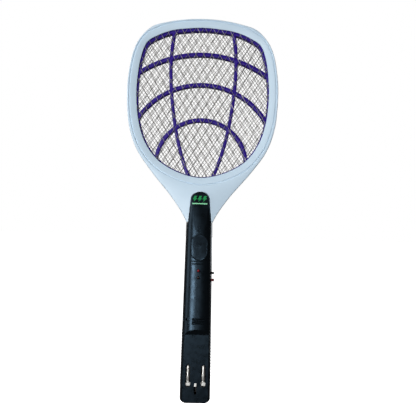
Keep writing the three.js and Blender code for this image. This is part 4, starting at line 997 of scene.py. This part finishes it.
def facet_cutter(side):
    """Everything outside the sloping facet of the tongue."""
    def at(height):
        return side * (HALF_DEPTH - FACET_SLOPE * (height - FACET_START))
    low, high = FACET_START - 20, TONGUE_TOP + 20
    return slab([(at(low), low), (at(high), high), (side * FAR, high), (side * FAR, low)], -FAR, FAR)


def surface_depth(x, height, proud=0.0):
    """Y of the handle's front at a place."""
    width, depth = half_width(height) + proud, half_depth(height) + proud
    share = max(1e-6, 1 - min(abs(x) / width, 1.0) ** ROUNDNESS)
    return -depth * share ** (1 / ROUNDNESS)


def following(outline_of, loops, back):
    """A solid whose loops follow the handle's front: each loop has an inset and a height."""
    rings = []
    for inset, proud in loops:
        points = outline_of(inset)
        rings.append([Vector((x, surface_depth(x, z) - proud, z)) for x, z in points])
    rings.insert(0, [Vector((x, back, z)) for x, z in outline_of(loops[0][0])])
    return loft(rings)


def screw_hole(x, height, seat):
    """A sunk hole in the rear shell."""
    profile = [(0, -1), (1.55, -1), (1.55, seat), (2.8, seat), (2.8, 30), (0, 30)]
    return turned(profile, "y", (x, 0, height), 28)


class SWATTER_OT_handle(bpy.types.Operator):
    """Builds the front and rear shells of the handle"""

    bl_idname = "swatter.handle"
    bl_label = "Handle"

    def execute(self, context):
        low = [h for h in ring_heights(False) if WALL < h < HANDLE_LENGTH - WALL]
        heights = [WALL, *low, HANDLE_LENGTH - WALL]
        self.front(heights)
        self.rear(heights)
        return {"FINISHED"}

    def front(self, heights):
        """The front shell, with the plug face and the openings for the controls."""
        lug = half_body(-1, [99.3, 103.5, 107.7], 0.5, 2.5, count=40)
        bmesh.ops.bisect_plane(
            lug, geom=lug.verts[:] + lug.edges[:] + lug.faces[:], plane_co=(-7.8, 0, 0),
            plane_no=(1, 0, 0), clear_outer=True)
        cap(lug)
        cavity = combined(
            half_body(-1, heights, WALL, -1.0, count=40), ("DIFFERENCE", plug_face_cutter(WALL)),
            ("DIFFERENCE", lug))
        button = following(
            lambda inset: stadium(
                BUTTON_WIDTH + 2 * inset, BUTTON_LENGTH + 2 * inset, BUTTON_HEIGHT),
            [(0.0, -0.45), (0.05, -0.3), (0.5, 0.1), (0.6, 3.0)], -5.0)
        lamps = [
            turned([(0, -8), (1.8, -8), (1.8, -15.75), (2.1, -16.1), (2.1, -20), (0, -20)], "y",
                   (0, 0, height), 28) for height in LAMP_HEIGHTS]
        slots = [
            box((10, -8.0, height - 1.6), (FAR, -4.8, height + 4.4))
            for height in SWITCH_HEIGHTS]
        x, strap = STRAP_PLACE
        strap_front = turned(
            [(0, -7), (STRAP_RADIUS, -7), (STRAP_RADIUS, -14.2), (3.2, -16.4), (3.2, -20), (0, -20)],
            "y", (x, 0, strap), 28)
        strap_side = turned(
            [(0, -30), (STRAP_RADIUS + 0.8, -30), (STRAP_RADIUS + 0.8, -17.6),
             (STRAP_RADIUS, -16.6), (STRAP_RADIUS, x), (0, x)],
            "x", (0, -7, strap), 28)
        pins = [
            prism([(sign * PIN_X + px, pz) for px, pz in stadium(5.8, 28.5, 33.75)], -20, -PIVOT_DEPTH)
            for sign in (-1, 1)]
        groove = prism(stadium(3.4, 14.1, 18.05), -20, -PIVOT_DEPTH)
        neck = box((-FAR, -10.3, HANDLE_LENGTH - GAP), (FAR, 5, 300))
        pocket = box((-11.3, -10, 210.7), (11.3, 5, HANDLE_LENGTH + 1))
        shell = combined(
            half_body(-1, ring_heights(True), 0.0, SPLIT, True),
            ("DIFFERENCE", merged([plug_face_cutter(0), facet_cutter(-1)])),
            ("DIFFERENCE", cavity),
            ("DIFFERENCE", merged([pocket, button, *lamps, *slots, strap_front, *pins, groove])),
            ("DIFFERENCE", merged([neck, strap_side])))
        place(
            shell, "handle_front_shell", "root", finish("handle_plastic"),
            ["handle_front"], 32)

    def rear(self, heights):
        """The rear shell, with sunk screw holes."""
        screws = [(-10.2, 101.0, 5.5), (10.2, 101.0, 5.5), (0.0, 7.6, 5.5)]
        posts = [
            turned([(0, -3), (4.0, -3), (4.0, 14.6), (0, 14.6)], "y", (x, 0, height), 28)
            for x, height, seat in screws]
        low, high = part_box("handle_screw_1")
        top = (low.z + high.z) / 2 / MM + GRIP_HEIGHT
        posts.append(turned([(0, 10), (4.0, 10), (4.0, 14.6), (0, 14.6)], "y", (0, 0, top), 28))
        cavity = combined(
            half_body(1, heights, WALL, -1.0, count=40), ("DIFFERENCE", merged(posts)))
        neck = box((-FAR, -5, HANDLE_LENGTH - GAP), (FAR, 10.3, 300))
        pocket = box((-11.3, -5, 210.7), (11.3, 10, HANDLE_LENGTH + 1))
        holes = [screw_hole(x, height, seat) for x, height, seat in screws]
        shell = combined(
            half_body(1, ring_heights(True), 0.0, SPLIT, True),
            ("DIFFERENCE", merged([facet_cutter(1)])),
            ("DIFFERENCE", cavity),
            ("DIFFERENCE", merged([pocket, *holes])),
            ("DIFFERENCE", neck),
            ("DIFFERENCE", screw_hole(0.0, top, 11.3)))
        place(
            shell, "handle_rear_shell", "root", finish("handle_plastic"),
            ["handle_rear"], 32)


class SWATTER_OT_button(bpy.types.Operator):
    """Builds the push button, which follows the handle's curve"""

    bl_idname = "swatter.button"
    bl_label = "Push Button"

    def execute(self, context):
        proud = sizes().button_proud
        width, length = BUTTON_WIDTH - 2 * GAP, BUTTON_LENGTH - 2 * GAP
        loops = [
            (0.0, -1.6), (0.0, proud - 0.42), (0.1, proud - 0.16), (0.35, proud - 0.02),
            (0.8, proud), (2.2, proud), (4.0, proud), (6.0, proud), (8.0, proud), (9.5, proud),
        ]
        cap_mesh = following(
            lambda inset: stadium(width - 2 * inset, length - 2 * inset, BUTTON_HEIGHT),
            loops, -12.4)
        stem = turned(
            [(0, -12.8), (3, -12.8), (3, -10.1), (0, -10.1)], "y", (0, 0, BUTTON_HEIGHT), 24)
        flange = following(
            lambda inset: stadium(22.4 - 2 * inset, 33.9 - 2 * inset, BUTTON_HEIGHT),
            [(0.0, -3.6), (0.0, -2.5)], -12.0)
        place(
            merged([combined(cap_mesh, ("UNION", flange)), stem]), "button_cap", "button",
            finish("button_plastic"), ["push_button"])
        return {"FINISHED"}


class SWATTER_OT_sign(bpy.types.Operator):
    """Builds the painted sign on the tongue: three bolts over a bar"""

    bl_idname = "swatter.sign"
    bl_label = "Sign"

    def execute(self, context):
        bolt = [
            (-0.6, 3.8), (-2.9, -0.7), (-0.9, -0.7), (-1.9, -3.8), (2.9, 0.9), (0.9, 0.9), (2.7, 3.8)]
        bolts = [
            prism([(-0.4 + x + shift, 253.1 + z) for x, z in bolt[::-1]], -0.25, 0.1)
            for shift in (-6.0, 0.0, 6.0)]
        bar = box((-9.9, -0.25, 246.4), (8.9, 0.1, 248.0), 0.08, 1)
        for name, bm, paint in (
            ("sign_bolts", merged(bolts), "sign_paint"), ("sign_bar", bar, "bar_paint")):
            for vert in bm.verts:
                vert.co.y -= HALF_DEPTH - FACET_SLOPE * (vert.co.z - FACET_START)
            place(bm, name, "root", finish(paint))
        return {"FINISHED"}


class SWATTER_OT_lamps(bpy.types.Operator):
    """Builds the two lamps"""

    bl_idname = "swatter.lamps"
    bl_label = "Lamps"

    def execute(self, context):
        for name, node, height, slot, paint in (
            ("lamp_power", "power_led", 164.0, "red_lens", "red_lens"),
            ("lamp_charge", "charge_led", 155.4, "dark_lens", "dark_lens")):
            profile = [(0, -16.45)]
            for step in range(1, 8):
                turn = math.radians(step * 90 / 7)
                profile.append((1.5 * math.sin(turn), -14.95 - 1.5 * math.cos(turn)))
            profile += [(1.5, -11.4), (1.75, -11.3), (1.75, -11.0), (0, -11.0)]
            lens = turned(profile, "y", (0, 0, height))
            legs = [
                box((x - 0.25, -11.2, height - 0.25), (x + 0.25, -4.3, height + 0.25))
                for x in (-0.9, 0.9)]
            place(
                combined(lens, ("UNION", merged(legs))), name, "root", finish(paint), [node], 30)
        return {"FINISHED"}


class SWATTER_OT_side_switches(bpy.types.Operator):
    """Builds the two slide knobs and finishes their switches"""

    bl_idname = "swatter.side_switches"
    bl_label = "Side Switches"

    def execute(self, context):
        for node, body, height, slot, paint, slant in (
            ("power_switch_knob", "power_knob", 161.0, "handle_plastic", "knob_black", 1.0),
            ("lamp_switch_knob", "lamp_knob", 152.0, "red_plastic", "knob_red", 0.25)):
            low, high = (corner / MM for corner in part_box(node))
            stem = box((low.x, -7.7, height - 1.3), (high.x, -5.1, height + 2.1), 0.25)
            for vert in stem.verts:
                if vert.co.x > high.x - 0.6 and vert.co.z > height:
                    vert.co.z -= slant * 0.9
            grooves = [
                box((high.x - 0.3, -9, height + lift - 0.16), (high.x + 1, -4, height + lift + 0.16))
                for lift in (-0.5, 0.0)]
            flange = box((low.x, -7.7, height - 2.1), (low.x + 1.0, -5.1, height + 2.1), 0.1, 1)
            place(
                combined(stem, ("UNION", flange), ("DIFFERENCE", merged(grooves))),
                node.replace("_switch", "") + "_cap", body, finish(paint), [node])
        repaint(["power_switch_body", "lamp_switch_body", "tact_switch"], "switch_case")
        repaint(["switch_plunger"], "knob_black")
        return {"FINISHED"}


class SWATTER_OT_plug(bpy.types.Operator):
    """Builds the fold-out plug: two pins on a carrier with a thumb tab"""

    bl_idname = "swatter.plug"
    bl_label = "Fold-out Plug"

    def execute(self, context):
        pivot = (0, -PIVOT_DEPTH, PIVOT_HEIGHT)
        profile = [(0, -13.0), (1.9, -13.0), (2.2, -12.7), (2.2, -11.8)]
        for sign in (-1, 1):
            knuckle = [(2.2, -2.1), (2.35, -2.0), (2.5, -1.6), (2.5, 1.6), (2.35, 2.0), (2.2, 2.1)]
            profile += [(radius, sign * PIN_X + along) for radius, along in knuckle]
        profile += [(2.2, 11.8), (2.2, 12.7), (1.9, 13.0), (0, 13.0)]
        shaft = turned(profile, "x", pivot, 36)
        tab = box((-1.4, -11.9, PIVOT_HEIGHT - 2.1), (1.4, -PIVOT_DEPTH, PIVOT_HEIGHT + 2.1), 0.35)
        place(
            combined(shaft, ("UNION", tab)), "plug_shaft", "plug", finish("nylon"),
            ["plug_carrier"])
        for sign, node in ((-1, "plug_pin_left"), (1, "plug_pin_right")):
            pin = [
                (0, 2.4), (1.5, 2.4), (2.0, 2.9), (2.0, 3.4), (1.85, 3.7), (1.85, 4.4), (2.0, 4.7),
                (2.0, 13.2), (1.72, 14.2), (1.72, 21.6), (1.62, 22.6), (1.3, 23.3), (0.8, 23.7),
                (0, 23.8)]
            bm = turned(pin, "z", (sign * PIN_X, -PIVOT_DEPTH, PIVOT_HEIGHT), 32)
            place(
                bm, node.replace("plug_", "mains_"), "plug", finish("pin_metal"),
                [node], 30)
        repaint(["plug_retainer"], "knob_black")
        repaint(["plug_contact_left", "plug_contact_right"], "brass")
        return {"FINISHED"}


def cross_screw(low, high):
    """A pan-head screw with a cross recess between two corners, driven towards -Y."""
    middle = (low + high) / 2
    x, z = middle.x, middle.z + GRIP_HEIGHT
    top = high.y
    seat = top - 1.7
    profile = [(0, low.y), (0.5, low.y + 0.4), (1.2, low.y + 2.2), (1.2, seat)]
    profile += [(2.4, seat), (2.5, seat + 0.15), (2.5, top - 0.75), (2.3, top - 0.35), (1.8, top - 0.12), (1.0, top), (0, top)]
    screw = turned(profile, "y", (x, 0, z), 28)
    slots = [
        box((x - 1.45, top - 1.0, z - 0.28), (x + 1.45, top + 1, z + 0.28)),
        box((x - 0.28, top - 1.001, z - 1.45), (x + 0.28, top + 1.001, z + 1.45))]
    return combined(screw, ("DIFFERENCE", slots[0]), ("DIFFERENCE", slots[1]))


class SWATTER_OT_screws(bpy.types.Operator):
    """Builds the screws that show and finishes the hidden ones"""

    bl_idname = "swatter.screws"
    bl_label = "Screws"

    def execute(self, context):
        shown = [f"head_screw_{k}" for k in range(1, 9)] + [f"handle_screw_{k}" for k in range(1, 5)]
        for node in shown:
            low, high = (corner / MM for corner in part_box(node))
            place(
                cross_screw(low, high), node.replace("screw", "cross_screw"), "root",
                finish("screw_steel"), [node], 40)
        hidden = [n for n in frame["nodes"] if "screw" in n and n not in shown]
        repaint(hidden, "screw_steel")
        return {"FINISHED"}


class SWATTER_OT_electronics(bpy.types.Operator):
    """Finishes the boards, their parts, the battery and the leads"""

    bl_idname = "swatter.electronics"
    bl_label = "Electronics"

    def execute(self, context):
        paints = {
            "board_lacquer": ["circuit_board", "charger_board"],
            "ferrite": ["transformer_core", "transistor", "rectifier"],
            "winding_tape": ["transformer_winding", "charger_capacitor"],
            "film_epoxy": ["storage_capacitor", "doubler_capacitor"],
            "ceramic": ["bleed_resistor", "charger_resistor"],
            "battery_case": ["battery"],
            "foam": ["battery_pad"],
            "lead_red": ["outer_net_lead", "battery_lead_red", "charge_lead_red"],
            "lead_black": ["inner_net_lead", "battery_lead_black", "charge_lead_black"],
        }
        for paint, nodes in paints.items():
            repaint(nodes, paint)
        return {"FINISHED"}


# ------------------------------------------------------------------ stage


def soft_light(name, spot, aim, size, power, gloss=True):
    """A soft rectangular light, with or without a mirror image of it in the surfaces."""
    data = bpy.data.lights.new(name, "AREA")
    data.shape = "RECTANGLE"
    data.size, data.size_y = size
    data.energy = power
    item = bpy.data.objects.new(name, data)
    item.location = spot
    item.rotation_euler = (Vector(aim) - Vector(spot)).to_track_quat("-Z", "Y").to_euler()
    item.visible_camera = False
    item.visible_glossy = gloss
    bpy.context.scene.collection.objects.link(item)


class SWATTER_OT_stage(bpy.types.Operator):
    """Sets up the camera, the floor and the lights"""

    bl_idname = "swatter.stage"
    bl_label = "Stage"

    def execute(self, context):
        scene = context.scene
        data = bpy.data.cameras.new("front_camera")
        data.sensor_width = 36.0
        data.lens = CAMERA_LENS
        camera = bpy.data.objects.new("front_camera", data)
        spot, aim = Vector(CAMERA_SPOT), Vector(CAMERA_AIM)
        look = (aim - spot).to_track_quat("-Z", "Y")
        camera.rotation_mode = "QUATERNION"
        camera.rotation_quaternion = look @ Quaternion((0, 0, 1), math.radians(CAMERA_ROLL))
        camera.location = spot
        scene.collection.objects.link(camera)
        scene.camera = camera
        bm = bmesh.new()
        bmesh.ops.create_circle(bm, cap_ends=True, radius=FLOOR_RADIUS, segments=96)
        bmesh.ops.translate(bm, vec=(0, 0, FLOOR_LEVEL), verts=bm.verts)
        floor = as_object(bm, "floor")
        floor.data.materials.append(surface(
            "floor_paper", (0.88, 0.88, 0.88), 0.8, mottle=0.01, mottle_size=400, grain_size=3,
            glow=1.4))
        floor.visible_diffuse = False
        floor.visible_glossy = False
        soft_light("key_light", (-0.36, -1.05, -0.08), (0, 0, 0), (0.40, 0.24), 4.5)
        soft_light("left_light", (-1.25, -0.35, 0.25), (0, 0, 0.1), (0.8, 1.0), 4.0)
        soft_light("fill_light", (-0.6, -1.4, 0.45), (0, 0, 0.15), (1.0, 1.0), 15, gloss=False)
        soft_light("top_light", (0.0, -0.2, 1.8), (0, 0, 0.1), (1.2, 0.9), 3)
        soft_light("right_rear_light", (0.95, 1.1, 0.4), (0, 0, 0.1), (0.8, 0.9), 7)
        soft_light("left_rear_light", (-0.75, 1.2, 0.6), (0, 0, 0.1), (0.8, 0.9), 7)
        world = bpy.data.worlds.new("studio")
        world.use_nodes = True
        tree = world.node_tree
        shade = tree.nodes["Background"]
        path = tree.nodes.new("ShaderNodeLightPath")
        mix = tree.nodes.new("ShaderNodeMix")
        mix.data_type = "FLOAT"
        mix.inputs["A"].default_value = 0.04
        mix.inputs["B"].default_value = 1.0
        tree.links.new(path.outputs["Is Camera Ray"], mix.inputs["Factor"])
        tree.links.new(mix.outputs["Result"], shade.inputs["Strength"])
        shade.inputs["Color"].default_value = (1, 1, 1, 1)
        scene.world = world
        scene.view_settings.view_transform = "Standard"
        return {"FINISHED"}


# ------------------------------------------------------------------ add-on


OPERATORS = (
    SWATTER_OT_stage,
    SWATTER_OT_head_frame,
    SWATTER_OT_nets,
    SWATTER_OT_spacers,
    SWATTER_OT_handle,
    SWATTER_OT_button,
    SWATTER_OT_sign,
    SWATTER_OT_lamps,
    SWATTER_OT_side_switches,
    SWATTER_OT_plug,
    SWATTER_OT_screws,
    SWATTER_OT_electronics,
)


class SWATTER_PT_pieces(bpy.types.Panel):
    """Lists the pieces that can be built"""

    bl_idname = "SWATTER_PT_pieces"
    bl_label = "Fly Swatter"
    bl_space_type = "VIEW_3D"
    bl_region_type = "UI"
    bl_category = "Swatter"

    def draw(self, context):
        for group in (context.scene.swatter_sizes, context.scene.swatter_colours):
            column = self.layout.column(align=True)
            for name in group.__annotations__:
                column.prop(group, name)
        for operator in OPERATORS:
            self.layout.operator(operator.bl_idname)


CLASSES = (SwatterSizes, SwatterColours, *OPERATORS, SWATTER_PT_pieces)


def register():
    """Adds the settings, operators and panel to Blender."""
    for item in CLASSES:
        bpy.utils.register_class(item)
    bpy.types.Scene.swatter_sizes = PointerProperty(type=SwatterSizes)
    bpy.types.Scene.swatter_colours = PointerProperty(type=SwatterColours)


def unregister():
    """Takes them out again."""
    del bpy.types.Scene.swatter_colours
    del bpy.types.Scene.swatter_sizes
    for item in reversed(CLASSES):
        bpy.utils.unregister_class(item)


def main():
    """Builds every piece."""
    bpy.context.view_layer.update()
    register()
    for operator in OPERATORS:
        group, name = operator.bl_idname.split(".")
        getattr(getattr(bpy.ops, group), name)()


if __name__ == "__main__":
    main()
